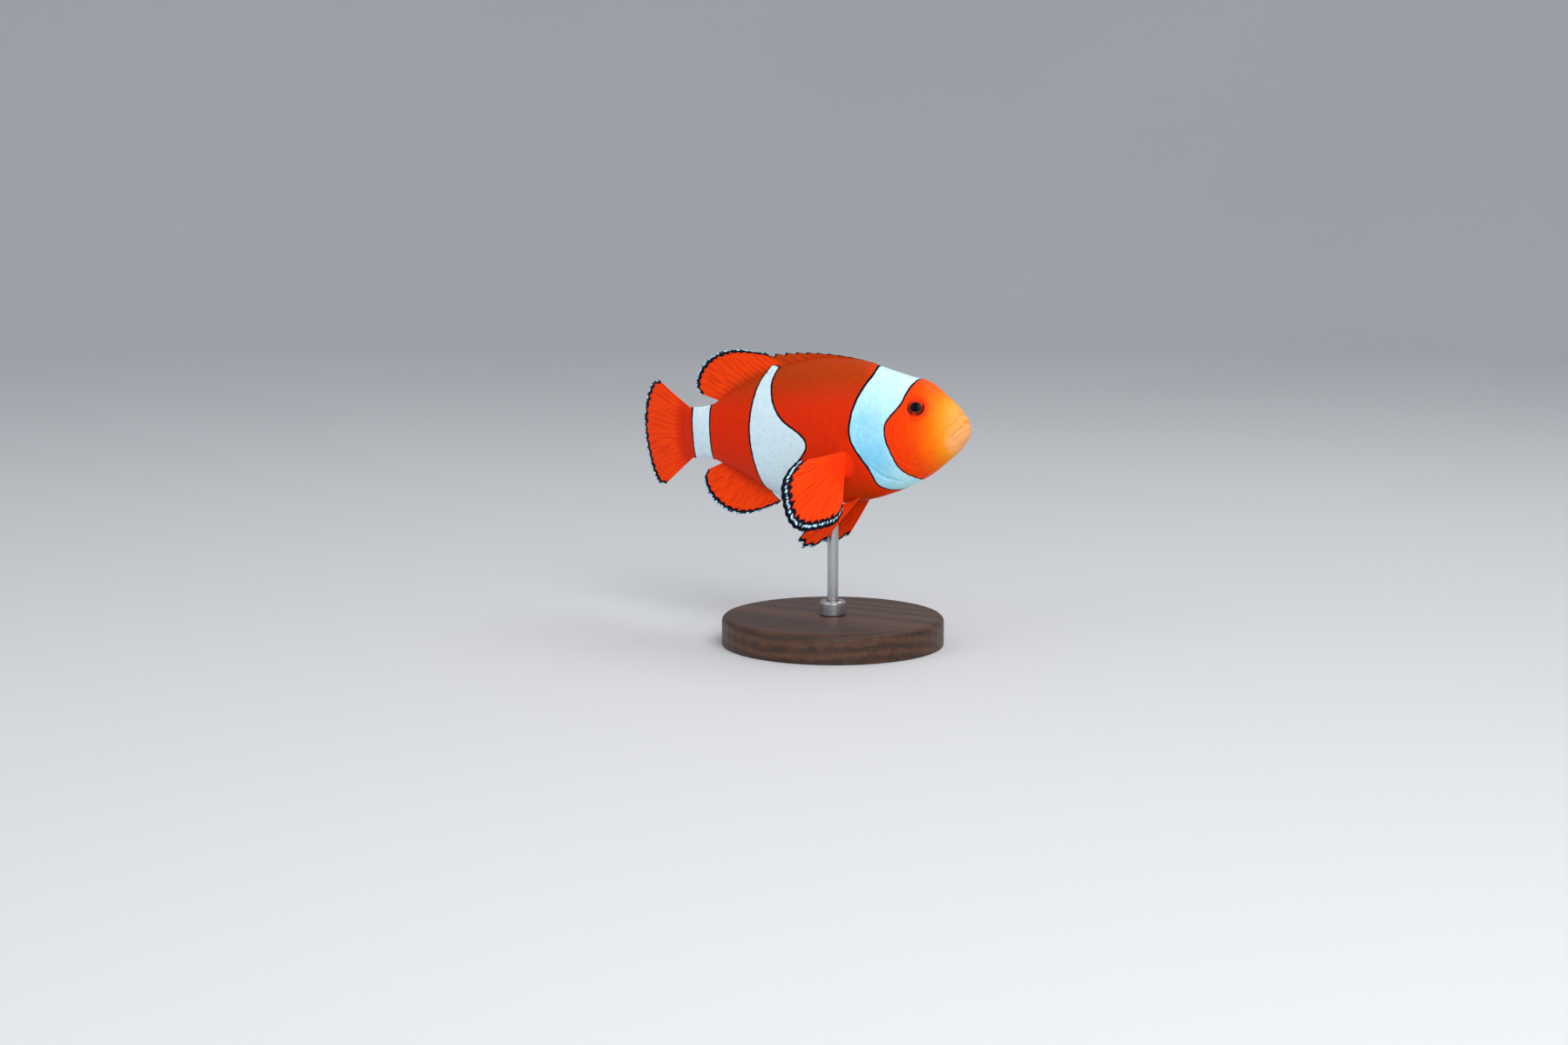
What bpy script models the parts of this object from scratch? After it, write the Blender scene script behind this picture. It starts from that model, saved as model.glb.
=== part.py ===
"""A life-size clownfish, Amphiprion ocellaris, hovering on a plain display stand.

Metres, +Z up. The origin is the middle of the stand's underside, and the fish heads along +X.

The fish is drawn straight, in body units: lengths as shares of the standard length, which runs from
the snout's tip to the root of the tail fin. A place is (along, up, out): along is measured back from
the snout, up from the snout's level, and out sideways from the middle plane, positive to the fish's
left. posed() then sweeps the tail, lifts the nose and sets the fish over its stand.
"""

import math

import bmesh
import bpy
import numpy as np
from mathutils import Matrix, Vector

# Driving dimensions, in metres and degrees
STANDARD_LENGTH = 0.072
BODY_HEIGHT = 0.0455  # of the snout's level above the table, over the rod
NOSE_UP = 4.0
TAIL_SWEEP = -24.0  # how far the tail fin's tip has turned, towards the fish's right
GAP = 0.00025  # between pieces that meet
FIN_THICKNESS = 0.0006
BASE_RADIUS = 0.024
BASE_THICKNESS = 0.006
BASE_EDGE = 0.0012
COLLAR_RADIUS = 0.0028
COLLAR_HEIGHT = 0.003
COLLAR_EDGE = 0.0006
ROD_RADIUS = 0.0012

# Body units, as shares of STANDARD_LENGTH
ROD_ALONG = 0.45  # the rod meets the belly here, under the centre of mass
SWEEP_FROM, SWEEP_TO = 0.40, 1.26
BODY_END = 1.035  # of the flesh, inside the tail fin's root
GAP_SHARE = GAP / STANDARD_LENGTH

# The body's outline: (along, up) of the back and the belly, and (along, out) of the half width
BACK = (
    (0, -0.005), (0.003, 0.016), (0.010, 0.032), (0.030, 0.063), (0.080, 0.109), (0.120, 0.140),
    (0.165, 0.156), (0.220, 0.172), (0.300, 0.199), (0.420, 0.219), (0.550, 0.213), (0.680, 0.179),
    (0.800, 0.131), (0.920, 0.090), (BODY_END, 0.088),
)
BELLY = (
    (0, -0.005), (0.003, -0.019), (0.010, -0.031), (0.030, -0.056), (0.080, -0.095), (0.140, -0.134),
    (0.200, -0.161), (0.300, -0.193), (0.420, -0.209), (0.540, -0.206), (0.660, -0.178),
    (0.780, -0.123), (0.900, -0.079), (BODY_END, -0.077),
)
HALF_WIDTH = (
    (0, 0), (0.003, 0.016), (0.010, 0.028), (0.030, 0.043), (0.080, 0.065), (0.140, 0.083),
    (0.220, 0.096), (0.320, 0.102), (0.420, 0.100), (0.550, 0.088), (0.700, 0.063), (0.850, 0.040),
    (0.960, 0.026), (BODY_END, 0.012),
)
# The level of the widest place, and how keen the section is above and below it: 1 is an ellipse
WIDEST_LEVEL = (
    (0, -0.005), (0.060, 0.002), (0.200, -0.004), (0.400, 0.0), (0.800, 0.008), (BODY_END, 0.004),
)
BACK_KEENNESS = ((0, 0.95), (0.140, 0.88), (0.400, 1.12), (BODY_END, 1.05))
BELLY_KEENNESS = ((0, 0.95), (0.140, 1.02), (0.400, 0.92), (BODY_END, 1.05))
STATIONS, RING = 36, 28

# Parting lines, as (along, up), and where the tail's root is parted from the trunk
BEYOND = 0.30  # where an outline's edge lies clear of the body
TAIL_ROOT_ALONG = 0.860
GILL_EDGE = (
    (0.262, BEYOND), (0.270, 0.115), (0.306, 0.045), (0.318, -0.020), (0.296, -0.085), (0.235, -BEYOND),
)
CHEEK_EDGE = ((0.232, 0.085), (0.212, 0.020), (0.204, -0.045), (0.176, -0.098))
GILL_COVER_DEPTH = 0.052  # from the middle plane to the inside of a gill cover
GILL_COVER_TOP = (0.272, 0.098)
GILL_COVER_FOOT = (0.262, -0.128)
GAPE = (
    (-0.020, 0.034), (0.004, 0.023), (0.007, 0.011), (0.015, 0.004), (0.026, -0.005), (0.039, -0.022),
)
LIP_GROOVE = (
    (0.064, -0.030), (0.060, -0.008), (0.049, 0.007), (0.035, 0.016), (0.022, 0.026), (0.017, 0.038),
    (0.017, 0.051), (-0.020, 0.066),
)
CHIN_END = (0.080, -0.140)


EYE_ALONG, EYE_UP = 0.131, 0.072
EYE_RADIUS = 0.0275  # across the ball, of which a disc of 0.025 shows
EYE_DEPTH_RADIUS = 0.0155
EYE_SUNK = 0.0075  # of the ball's middle under the head's surface

DORSAL_SPINES, DORSAL_RAYS, ANAL_RAYS, TAIL_RAYS = 11, 15, 14, 17
PECTORAL_RAYS, PELVIC_RAYS = 17, 6
FIN_ROOT = 0.016  # how deep a median fin's drawing runs into the body before it is trimmed
ALONG_RAY = 5  # rows of a fin's grid, from root to tip

ORANGE = (0.85, 0.13, 0.012)
FACE_ORANGE = (0.95, 0.22, 0.02)
LIP_PEACH = (0.95, 0.42, 0.16)
BAR_WHITE = (0.78, 0.92, 0.96)
EYE_DARK = (0.02, 0.01, 0.01)
BASE_BROWN = (0.055, 0.025, 0.014)
STEEL = (0.62, 0.62, 0.63)


def spline(points, root=False):
    """A smooth function through these points, a natural cubic. With root it runs in the square root
    of along, which makes the snout round."""
    x = np.array([p[0] for p in points], float)
    y = np.array([p[1] for p in points], float)
    x = np.sqrt(x) if root else x
    h = np.diff(x)
    rise = np.diff(y) / h
    bends = np.eye(len(x))
    for i in range(1, len(x) - 1):
        bends[i, i - 1 : i + 2] = h[i - 1], 2 * (h[i - 1] + h[i]), h[i]
    m = np.linalg.solve(bends, np.concatenate([[0], 6 * np.diff(rise), [0]]))

    def value(at):
        at = np.clip(np.sqrt(np.maximum(at, 0)) if root else np.asarray(at, float), x[0], x[-1])
        i = np.clip(np.searchsorted(x, at) - 1, 0, len(h) - 1)
        a, b = x[i + 1] - at, at - x[i]
        cubic = (m[i] * a**3 + m[i + 1] * b**3) / (6 * h[i])
        return cubic + (y[i] / h[i] - m[i] * h[i] / 6) * a + (y[i + 1] / h[i] - m[i + 1] * h[i] / 6) * b

    return value


back, belly, half_width = (spline(line, root=True) for line in (BACK, BELLY, HALF_WIDTH))
widest_level, back_keenness, belly_keenness = (
    spline(line) for line in (WIDEST_LEVEL, BACK_KEENNESS, BELLY_KEENNESS)
)


def body_point(along, angle, grow=0.0):
    """The body's surface. angle is 0 on the back, pi on the belly, and positive on the left."""
    level = widest_level(along)
    cos, sin = np.cos(angle), np.sin(angle)
    upper = cos > 0
    reach = np.where(upper, back(along) + grow - level, level - belly(along) + grow)
    keenness = np.where(upper, back_keenness(along), belly_keenness(along))
    out = (half_width(along) + grow) * np.sign(sin) * np.abs(sin) ** keenness
    return np.stack(np.broadcast_arrays(along, level + reach * cos, out), -1)


def side_out(along, up):
    """How far out the body's surface is at this height, on the left."""
    level = widest_level(along)
    share = (up - level) / np.where(up > level, back(along) - level, level - belly(along))
    keenness = np.where(up > level, back_keenness(along), belly_keenness(along))
    return half_width(along) * (1 - np.clip(share, -1, 1) ** 2) ** (keenness / 2)


def sweep_path():
    """Tables of along, and of the swept middle line's place and heading there, in body units."""
    along = np.linspace(-0.2, 1.5, 681)
    share = np.clip((along - SWEEP_FROM) / (SWEEP_TO - SWEEP_FROM), 0, 1)
    heading = math.radians(TAIL_SWEEP) * share**1.5
    step = along[1] - along[0]
    x = -np.cumsum(np.cos(heading)) * step
    y = -np.cumsum(np.sin(heading)) * step
    return along, x - np.interp(ROD_ALONG, along, x), y - np.interp(ROD_ALONG, along, y), heading


SWEEP = sweep_path()


def posed(place):
    """From body units to metres over the stand."""
    along, up, out = (np.asarray(place, float)[..., i] for i in range(3))
    x, y, heading = (np.interp(along, SWEEP[0], column) for column in SWEEP[1:])
    x, y = x - out * np.sin(heading), y + out * np.cos(heading)
    cos, sin = math.cos(math.radians(NOSE_UP)), math.sin(math.radians(NOSE_UP))
    lifted = np.stack([x * cos - up * sin, y, x * sin + up * cos], -1)
    return lifted * STANDARD_LENGTH + np.array([0, 0, BODY_HEIGHT])


def new_collection(name):
    made = bpy.data.collections.new(name)
    bpy.context.scene.collection.children.link(made)
    return made


def new_material(name, colour, roughness, metallic=0.0):
    made = bpy.data.materials.new(name)
    made.use_nodes = True
    shader = made.node_tree.nodes["Principled BSDF"]
    shader.inputs["Base Color"].default_value = (*colour, 1)
    shader.inputs["Roughness"].default_value = roughness
    shader.inputs["Metallic"].default_value = metallic
    return made


def add_object(name, mesh, collection):
    made = bpy.data.objects.new(name, mesh)
    collection.objects.link(made)
    return made


def add_cutter(name, mesh, collection):
    made = add_object(name, mesh, collection)
    made.hide_render = True
    made.display_type = "WIRE"
    return made


def mesh_from(name, bm):
    bmesh.ops.recalc_face_normals(bm, faces=bm.faces)
    mesh = bpy.data.meshes.new(name)
    bm.to_mesh(mesh)
    bm.free()
    return mesh


def body_mesh(name, grow=0.0):
    """The whole straight body, a loft of rings from the snout to the root of the tail fin."""
    bm = bmesh.new()
    rings = []
    tip = bm.verts.new(body_point(0.0, 0.0) - np.array([grow, 0, 0]))
    for i in range(1, STATIONS + 1):
        along = BODY_END * (i / STATIONS) ** 1.5
        angles = np.linspace(0, 2 * math.pi, RING, endpoint=False)
        rings.append([bm.verts.new(p) for p in body_point(along, angles, grow)])
    for j in range(RING):
        bm.faces.new((tip, rings[0][j], rings[0][j - 1]))
    for front, rear in zip(rings, rings[1:]):
        for j in range(RING):
            bm.faces.new((front[j - 1], front[j], rear[j], rear[j - 1]))
    bm.faces.new(rings[-1])
    return mesh_from(name, bm)


def prism_mesh(name, outline, out_low, out_high):
    """An (along, up) outline carried sideways from out_low to out_high."""
    bm = bmesh.new()
    face = bm.faces.new([bm.verts.new((along, up, out_low)) for along, up in outline])
    side = bmesh.ops.extrude_face_region(bm, geom=[face])["geom"]
    corners = [v for v in side if isinstance(v, bmesh.types.BMVert)]
    bmesh.ops.translate(bm, verts=corners, vec=(0, 0, out_high - out_low))
    return mesh_from(name, bm)


def smooth_line(points, count=12):
    """Points along a smooth curve through an (along, up) line."""
    run = np.concatenate([[0], np.cumsum([math.dist(a, b) for a, b in zip(points, points[1:])])])
    at = np.linspace(0, run[-1], count)
    columns = [spline(list(zip(run, [p[i] for p in points])))(at) for i in range(2)]
    return list(zip(*columns))


def shifted(outline, amount):
    """The outline moved outward by amount, or inward where it is negative."""
    points = [Vector(p) for p in outline]
    area = sum(a.x * b.y - b.x * a.y for a, b in zip(points, points[1:] + points[:1]))
    moved = []
    for i, point in enumerate(points):
        before = (point - points[i - 1]).normalized()
        after = (points[(i + 1) % len(points)] - point).normalized()
        along = (before + after).normalized()
        outward = Vector((along.y, -along.x)) * math.copysign(1, area)
        moved.append(tuple(point + outward * amount / max(0.5, along.dot(after))))
    return moved


def with_boolean(obj, operation, cutter):
    modifier = obj.modifiers.new(f"{operation.lower()} {cutter.name}", "BOOLEAN")
    modifier.operation = operation
    modifier.object = cutter


def settle(obj):
    """Applies the object's modifiers, and poses its mesh."""
    graph = bpy.context.evaluated_depsgraph_get()
    mesh = bpy.data.meshes.new_from_object(obj.evaluated_get(graph))
    obj.modifiers.clear()
    places = np.array([v.co for v in mesh.vertices], float)
    mesh.vertices.foreach_set("co", posed(places).ravel())
    mesh.update()
    obj.data = mesh


def shade(obj, material, sharp=40.0):
    obj.data.materials.clear()
    obj.data.materials.append(material)
    obj.data.shade_smooth()
    obj.data.set_sharp_from_angle(angle=math.radians(sharp))


def parting_outlines():
    """The (along, up) outlines that part the body."""
    gill_edge = smooth_line(GILL_EDGE, 18)
    trunk_edge = [(along + GAP_SHARE, up) for along, up in gill_edge]
    tail_edge = TAIL_ROOT_ALONG + GAP_SHARE
    rim = [p for p in gill_edge if GILL_COVER_FOOT[1] < p[1] < GILL_COVER_TOP[1]]
    gape = smooth_line(GAPE, 10)
    lip = [*reversed(gape), *reversed(smooth_line(LIP_GROOVE, 9))]
    return {
        "head": [(-BEYOND, -BEYOND), (-BEYOND, BEYOND), *gill_edge],
        "trunk": [(TAIL_ROOT_ALONG, -BEYOND), (TAIL_ROOT_ALONG, BEYOND), *trunk_edge],
        "tail": [
            (tail_edge, -BEYOND), (tail_edge, BEYOND), (1 + BEYOND, BEYOND), (1 + BEYOND, -BEYOND),
        ],
        "cover": [GILL_COVER_TOP, *rim, GILL_COVER_FOOT, *reversed(smooth_line(CHEEK_EDGE, 8))],
        "jaw": [*gape, CHIN_END, (-BEYOND, CHIN_END[1])],
        "lip": shifted(lip, -GAP_SHARE),
    }


def eye_frame(side):
    """The matrix of an eye: its third axis points out of the head."""
    step = 0.004
    here = np.array([EYE_ALONG, EYE_UP, side_out(EYE_ALONG, EYE_UP)])
    ahead = np.array([step, 0, side_out(EYE_ALONG + step, EYE_UP) - here[2]])
    above = np.array([0, step, side_out(EYE_ALONG, EYE_UP + step) - here[2]])
    normal = Vector(np.cross(ahead, above)).normalized()
    middle = Vector(here) - normal * EYE_SUNK
    middle.z, normal.z = side * middle.z, side * normal.z
    return Matrix.Translation(middle) @ normal.to_track_quat("Z", "Y").to_matrix().to_4x4()


def eye_mesh(name, side, grow=0.0):
    bm = bmesh.new()
    bmesh.ops.create_uvsphere(bm, u_segments=18, v_segments=10, radius=1)
    across = EYE_RADIUS + grow
    bmesh.ops.scale(bm, vec=(across, across, EYE_DEPTH_RADIUS + grow), verts=bm.verts)
    bmesh.ops.transform(bm, matrix=eye_frame(side), verts=bm.verts)
    return mesh_from(name, bm)


def build_body(parts, cutters, materials):
    """Head, jaws, gill covers, eyes, trunk and tail root, parted by thin cuts."""
    outlines = parting_outlines()

    def region(name, outline, low=-BEYOND, high=BEYOND):
        return add_cutter(name, prism_mesh(name, outline, low, high), cutters)

    whole = body_mesh("body")
    head = add_object("head", whole, parts)
    with_boolean(head, "INTERSECT", region("head region", outlines["head"]))
    with_boolean(head, "DIFFERENCE", region("jaw clearance", shifted(outlines["jaw"], GAP_SHARE)))
    with_boolean(head, "DIFFERENCE", region("lip clearance", shifted(outlines["lip"], GAP_SHARE)))
    pieces = [(head, "face")]
    for name, outline, material in (("lower_jaw", "jaw", "lips"), ("upper_lip", "lip", "lips")):
        piece = add_object(name, whole.copy(), parts)
        with_boolean(piece, "INTERSECT", region(f"{name} region", outlines[outline]))
        pieces.append((piece, material))
    for side, word in ((1, "left"), (-1, "right")):
        cover = add_object(f"gill_cover_{word}", whole.copy(), parts)
        depths = sorted((side * GILL_COVER_DEPTH, side * BEYOND))
        with_boolean(cover, "INTERSECT", region(f"cover {word}", outlines["cover"], *depths))
        depths = sorted((side * (GILL_COVER_DEPTH - GAP_SHARE), side * BEYOND))
        room = shifted(outlines["cover"], GAP_SHARE)
        with_boolean(head, "DIFFERENCE", region(f"cover room {word}", room, *depths))
        socket = add_cutter(f"socket {word}", eye_mesh("socket", side, GAP_SHARE), cutters)
        with_boolean(head, "DIFFERENCE", socket)
        eye = add_object(f"eye_{word}", eye_mesh("eye", side), parts)
        pieces += [(cover, "bar"), (eye, "eye")]
    for name, outline in (("trunk", "trunk"), ("tail_root", "tail")):
        piece = add_object(name, whole.copy(), parts)
        with_boolean(piece, "INTERSECT", region(f"{name} region", outlines[outline]))
        pieces.append((piece, "skin"))
    for piece, material in pieces:
        settle(piece)
        shade(piece, materials[material])


def fin_mesh(name, rows):
    """An open grid through rows of places, one row for each ray."""
    bm = bmesh.new()
    grid = [[bm.verts.new(p) for p in row] for row in rows]
    for a, b in zip(grid, grid[1:]):
        for i in range(len(a) - 1):
            bm.faces.new((a[i], a[i + 1], b[i + 1], b[i]))
    return mesh_from(name, bm)


def ray_grid(roots, tips, bow=0.0):
    """Straight or slightly bowed rays from roots to tips, as an array of rays by places."""
    t = np.linspace(0, 1, ALONG_RAY)[None, :, None]
    line = roots[:, None] * (1 - t) + tips[:, None] * t
    return line + np.asarray(bow, float) * t * (1 - t)


def scallop(rays, depth, per_ray=2):
    """For each column, its place among the rays from 0 to 1, and its length's share, which dips
    between the rays."""
    at = np.linspace(0, rays - 1, (rays - 1) * per_ray + 1)
    return at / (rays - 1), 1 - depth * np.sin(math.pi * at) ** 2


def median_rays(at, base, length, lean, edge, up_or_down):
    """Roots and tips of a fin on the middle plane. lean is degrees back from straight up or down."""
    along = base[0] + (base[1] - base[0]) * at
    tilt = np.radians(lean(at))
    surface = np.stack([along, edge(along), 0 * at], -1)
    heading = np.stack([np.sin(tilt), up_or_down * np.cos(tilt), 0 * at], -1)
    return surface - heading * FIN_ROOT, surface + heading * length(at)[:, None]


SPINY_BASE, SOFT_BASE, ANAL_BASE = (0.288, 0.596), (0.606, 0.868), (0.630, 0.868)
SPINY_LENGTH = spline(((0, 0.014), (0.15, 0.024), (0.45, 0.040), (0.75, 0.060), (1, 0.078)))
SPINY_LEAN = spline(((0, 66), (0.5, 65), (1, 62)))
SOFT_LENGTH = spline(((0, 0.084), (0.25, 0.136), (0.55, 0.166), (0.85, 0.146), (1, 0.100)))
SOFT_LEAN = spline(((0, 58), (0.5, 56), (1, 74)))
ANAL_LENGTH = spline(((0, 0.040), (0.12, 0.084), (0.35, 0.138), (0.65, 0.156), (0.88, 0.130), (1, 0.094)))
ANAL_LEAN = spline(((0, 52), (0.5, 50), (1, 72)))


def spiny_dorsal():
    at, share = scallop(DORSAL_SPINES, 0.20)
    return ray_grid(*median_rays(at, SPINY_BASE, lambda a: SPINY_LENGTH(a) * share, SPINY_LEAN, back, 1))


def soft_dorsal():
    at, share = scallop(DORSAL_RAYS, 0.03)
    return ray_grid(*median_rays(at, SOFT_BASE, lambda a: SOFT_LENGTH(a) * share, SOFT_LEAN, back, 1))


def anal():
    at, share = scallop(ANAL_RAYS, 0.04)
    return ray_grid(*median_rays(at, ANAL_BASE, lambda a: ANAL_LENGTH(a) * share, ANAL_LEAN, belly, -1))


TAIL_HALF_ANGLE = 31.0
TAIL_LENGTH = spline(((0, 0.200), (0.2, 0.230), (0.5, 0.248), (0.8, 0.230), (1, 0.200)))


def tail_fin():
    at, share = scallop(TAIL_RAYS, 0.03)
    angle = np.radians(TAIL_HALF_ANGLE) * (1 - 2 * at)
    middle, half = (back(1.0) + belly(1.0)) / 2, (back(1.0) - belly(1.0)) / 2
    roots = np.stack([1.0 + 0 * at, middle + half * (1 - 2 * at) * 0.96, 0 * at], -1)
    reach = (TAIL_LENGTH(at) * share)[:, None]
    tips = roots + reach * np.stack([np.cos(angle), np.sin(angle), 0 * at], -1)
    roots[:, 0] += BODY_END - 1.0 + GAP_SHARE
    return ray_grid(roots, tips)


def paired_rays(root_line, directions, length, rays, sunk, scallop_depth):
    """Roots and tips of a fin on the left side, and each column's place among the rays. directions
    are (back, up, out) for the first, middle and last ray, and sunk is how deep the roots go."""
    at, share = scallop(rays, scallop_depth)
    first, last = (np.array(p, float) for p in root_line)
    surface = first + (last - first) * at[:, None]
    heading = np.stack([spline(list(zip((0, 0.5, 1), column)))(at) for column in zip(*directions)], -1)
    heading /= np.linalg.norm(heading, axis=1)[:, None]
    return surface - heading * sunk, surface + heading * (length(at) * share)[:, None], at


PECTORAL_ROOT = ((0.356, -0.048, 0.100), (0.366, -0.110, 0.092))
PECTORAL_WAYS = {
    -1: ((0.80, -0.16, 0.55), (0.45, -0.72, 0.50), (-0.05, -0.95, 0.30)),
    1: ((0.86, 0.10, 0.50), (0.74, -0.42, 0.52), (0.46, -0.78, 0.42)),
}
PECTORAL_LENGTH = spline(((0, 0.186), (0.25, 0.220), (0.5, 0.244), (0.75, 0.196), (1, 0.144)))
PECTORAL_WAVE, PECTORAL_WAVES = 0.016, 1.3
PELVIC_ROOT = ((0.352, -0.190, 0.034), (0.376, -0.197, 0.018))
PELVIC_WAYS = ((0.62, -0.74, 0.20), (0.80, -0.58, 0.16), (0.93, -0.34, 0.10))
PELVIC_LENGTH = spline(((0, 0.165), (0.3, 0.225), (0.6, 0.230), (1, 0.160)))
PELVIC_BOW = 0.03


def pectoral(side):
    """A fan whose margin waves to and fro across its plane."""
    roots, tips, at = paired_rays(
        PECTORAL_ROOT, PECTORAL_WAYS[side], PECTORAL_LENGTH, PECTORAL_RAYS, 0.010, 0.03
    )
    across = np.cross(tips[-1] - roots[-1], tips[0] - roots[0])
    across /= np.linalg.norm(across)
    wave = PECTORAL_WAVE * np.sin(PECTORAL_WAVES * 2 * math.pi * at + 0.5)[:, None, None]
    t = np.linspace(0, 1, ALONG_RAY)[None, :, None]
    return ray_grid(roots, tips) + across * wave * t**2


def pelvic():
    roots, tips, _ = paired_rays(PELVIC_ROOT, PELVIC_WAYS, PELVIC_LENGTH, PELVIC_RAYS, 0.020, 0.05)
    return ray_grid(roots, tips, bow=(0, 0, PELVIC_BOW))


def build_fin(name, grid, clearance, parts, material):
    fin = add_object(name, fin_mesh(name, grid), parts)
    thick = fin.modifiers.new("thickness", "SOLIDIFY")
    thick.thickness = FIN_THICKNESS / STANDARD_LENGTH
    thick.offset = 0
    with_boolean(fin, "DIFFERENCE", clearance)
    settle(fin)
    shade(fin, material)


def build_fins(parts, cutters, materials):
    clearance = add_cutter("fin clearance", body_mesh("clearance", GAP_SHARE), cutters)
    fins = [
        ("dorsal_fin_spiny", spiny_dorsal()),
        ("dorsal_fin_soft", soft_dorsal()),
        ("anal_fin", anal()),
        ("tail_fin", tail_fin()),
    ]
    for side, word in ((1, "left"), (-1, "right")):
        fins.append((f"pectoral_fin_{word}", pectoral(side) * (1, 1, side)))
        fins.append((f"pelvic_fin_{word}", pelvic() * (1, 1, side)))
    for name, grid in fins:
        build_fin(name, grid, clearance, parts, materials["fins"])


def turned(name, profile, parts, material, steps=48):
    """A solid of revolution about Z from an (x, z) profile that runs down its outer side."""
    mesh = bpy.data.meshes.new(name)
    mesh.from_pydata([(x, 0, z) for x, z in profile], [(i, i + 1) for i in range(len(profile) - 1)], [])
    solid = add_object(name, mesh, parts)
    screw = solid.modifiers.new("turn", "SCREW")
    screw.steps = screw.render_steps = steps
    screw.use_merge_vertices = True
    screw.merge_threshold = 0.00001
    shade(solid, material)
    return solid


def edge_arc(radius, height, round_by, count=3):
    """The rounded upper edge of a turned disc, from its flat top to its side."""
    angles = np.linspace(math.pi / 2, 0, count + 1)
    x, z = radius - round_by, height - round_by
    return [(x + round_by * math.cos(a), z + round_by * math.sin(a)) for a in angles]


def build_stand(parts, cutters, materials):
    """A turned base, a collar on it, and one rod up to the belly."""
    rim = edge_arc(BASE_RADIUS, BASE_THICKNESS, BASE_EDGE)
    base = [(0, BASE_THICKNESS), *rim, (BASE_RADIUS, 0), (0, 0)]
    turned("stand_base", base, parts, materials["stand"])
    foot = BASE_THICKNESS + GAP
    head = foot + COLLAR_HEIGHT
    bore = ROD_RADIUS + GAP
    rim = edge_arc(COLLAR_RADIUS, head, COLLAR_EDGE)
    collar = [(bore, head), *rim, (COLLAR_RADIUS, foot), (bore, foot), (bore, head)]
    turned("stand_collar", collar, parts, materials["steel"], steps=24)
    bm = bmesh.new()
    bmesh.ops.create_cone(
        bm, cap_ends=True, segments=24, radius1=ROD_RADIUS, radius2=ROD_RADIUS, depth=BODY_HEIGHT - foot
    )
    bmesh.ops.translate(bm, verts=bm.verts, vec=(0, 0, (BODY_HEIGHT + foot) / 2))
    rod = add_object("stand_rod", mesh_from("rod", bm), parts)
    clearance = add_cutter("rod clearance", body_mesh("rod clearance", GAP_SHARE), cutters)
    settle(clearance)
    with_boolean(rod, "DIFFERENCE", clearance)
    shade(rod, materials["steel"])


def main():
    for obj in list(bpy.data.objects):
        bpy.data.objects.remove(obj)
    parts, cutters = new_collection("clownfish"), new_collection("cutters")
    materials = {
        "face": new_material("orange face", FACE_ORANGE, 0.42),
        "skin": new_material("red-orange skin", ORANGE, 0.45),
        "bar": new_material("white bar", BAR_WHITE, 0.42),
        "lips": new_material("peach lips", LIP_PEACH, 0.40),
        "fins": new_material("fin membrane", ORANGE, 0.50),
        "eye": new_material("eye", EYE_DARK, 0.08),
        "stand": new_material("dark wood", BASE_BROWN, 0.35),
        "steel": new_material("brushed steel", STEEL, 0.30, metallic=1.0),
    }
    build_body(parts, cutters, materials)
    build_fins(parts, cutters, materials)
    build_stand(parts, cutters, materials)


main()
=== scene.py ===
"""The looks of a life-size clownfish, Amphiprion ocellaris, on its display stand.

Metres, +Z up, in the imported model's frame. The fish is drawn straight, in body units: lengths as
shares of the standard length, with a place given as (along, up, out), which is back from the snout's
tip, up from its level, and out from the middle plane, positive to the fish's left. posed() sweeps the
tail, lifts the nose and sets the fish over its stand, as in the model's own source.
"""

import math

import bmesh
import bpy
import numpy as np
from mathutils import Matrix, Vector


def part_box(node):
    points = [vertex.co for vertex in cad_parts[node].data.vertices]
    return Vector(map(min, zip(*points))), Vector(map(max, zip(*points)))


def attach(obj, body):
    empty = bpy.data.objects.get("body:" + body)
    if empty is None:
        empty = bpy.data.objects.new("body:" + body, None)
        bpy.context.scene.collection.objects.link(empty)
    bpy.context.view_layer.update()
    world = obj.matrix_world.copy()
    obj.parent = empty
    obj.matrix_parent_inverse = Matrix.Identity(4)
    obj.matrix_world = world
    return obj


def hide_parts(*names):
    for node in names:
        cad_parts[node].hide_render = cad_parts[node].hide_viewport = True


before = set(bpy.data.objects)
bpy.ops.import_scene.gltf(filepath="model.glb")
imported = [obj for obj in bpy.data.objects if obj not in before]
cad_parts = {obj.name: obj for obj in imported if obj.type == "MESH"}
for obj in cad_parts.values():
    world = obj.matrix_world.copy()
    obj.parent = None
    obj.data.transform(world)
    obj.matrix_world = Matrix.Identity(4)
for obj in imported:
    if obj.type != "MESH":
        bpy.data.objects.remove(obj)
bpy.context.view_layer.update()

# ------------------------ the drawing, as in the solids

STANDARD_LENGTH = 0.072
BODY_HEIGHT = 0.0455
NOSE_UP, TAIL_SWEEP = 4.0, -24.0  # degrees
ROD_ALONG = 0.45
SWEEP_FROM, SWEEP_TO = 0.40, 1.26
BODY_END = 1.035
MM = 0.001 / STANDARD_LENGTH  # a millimetre in body units

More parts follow.
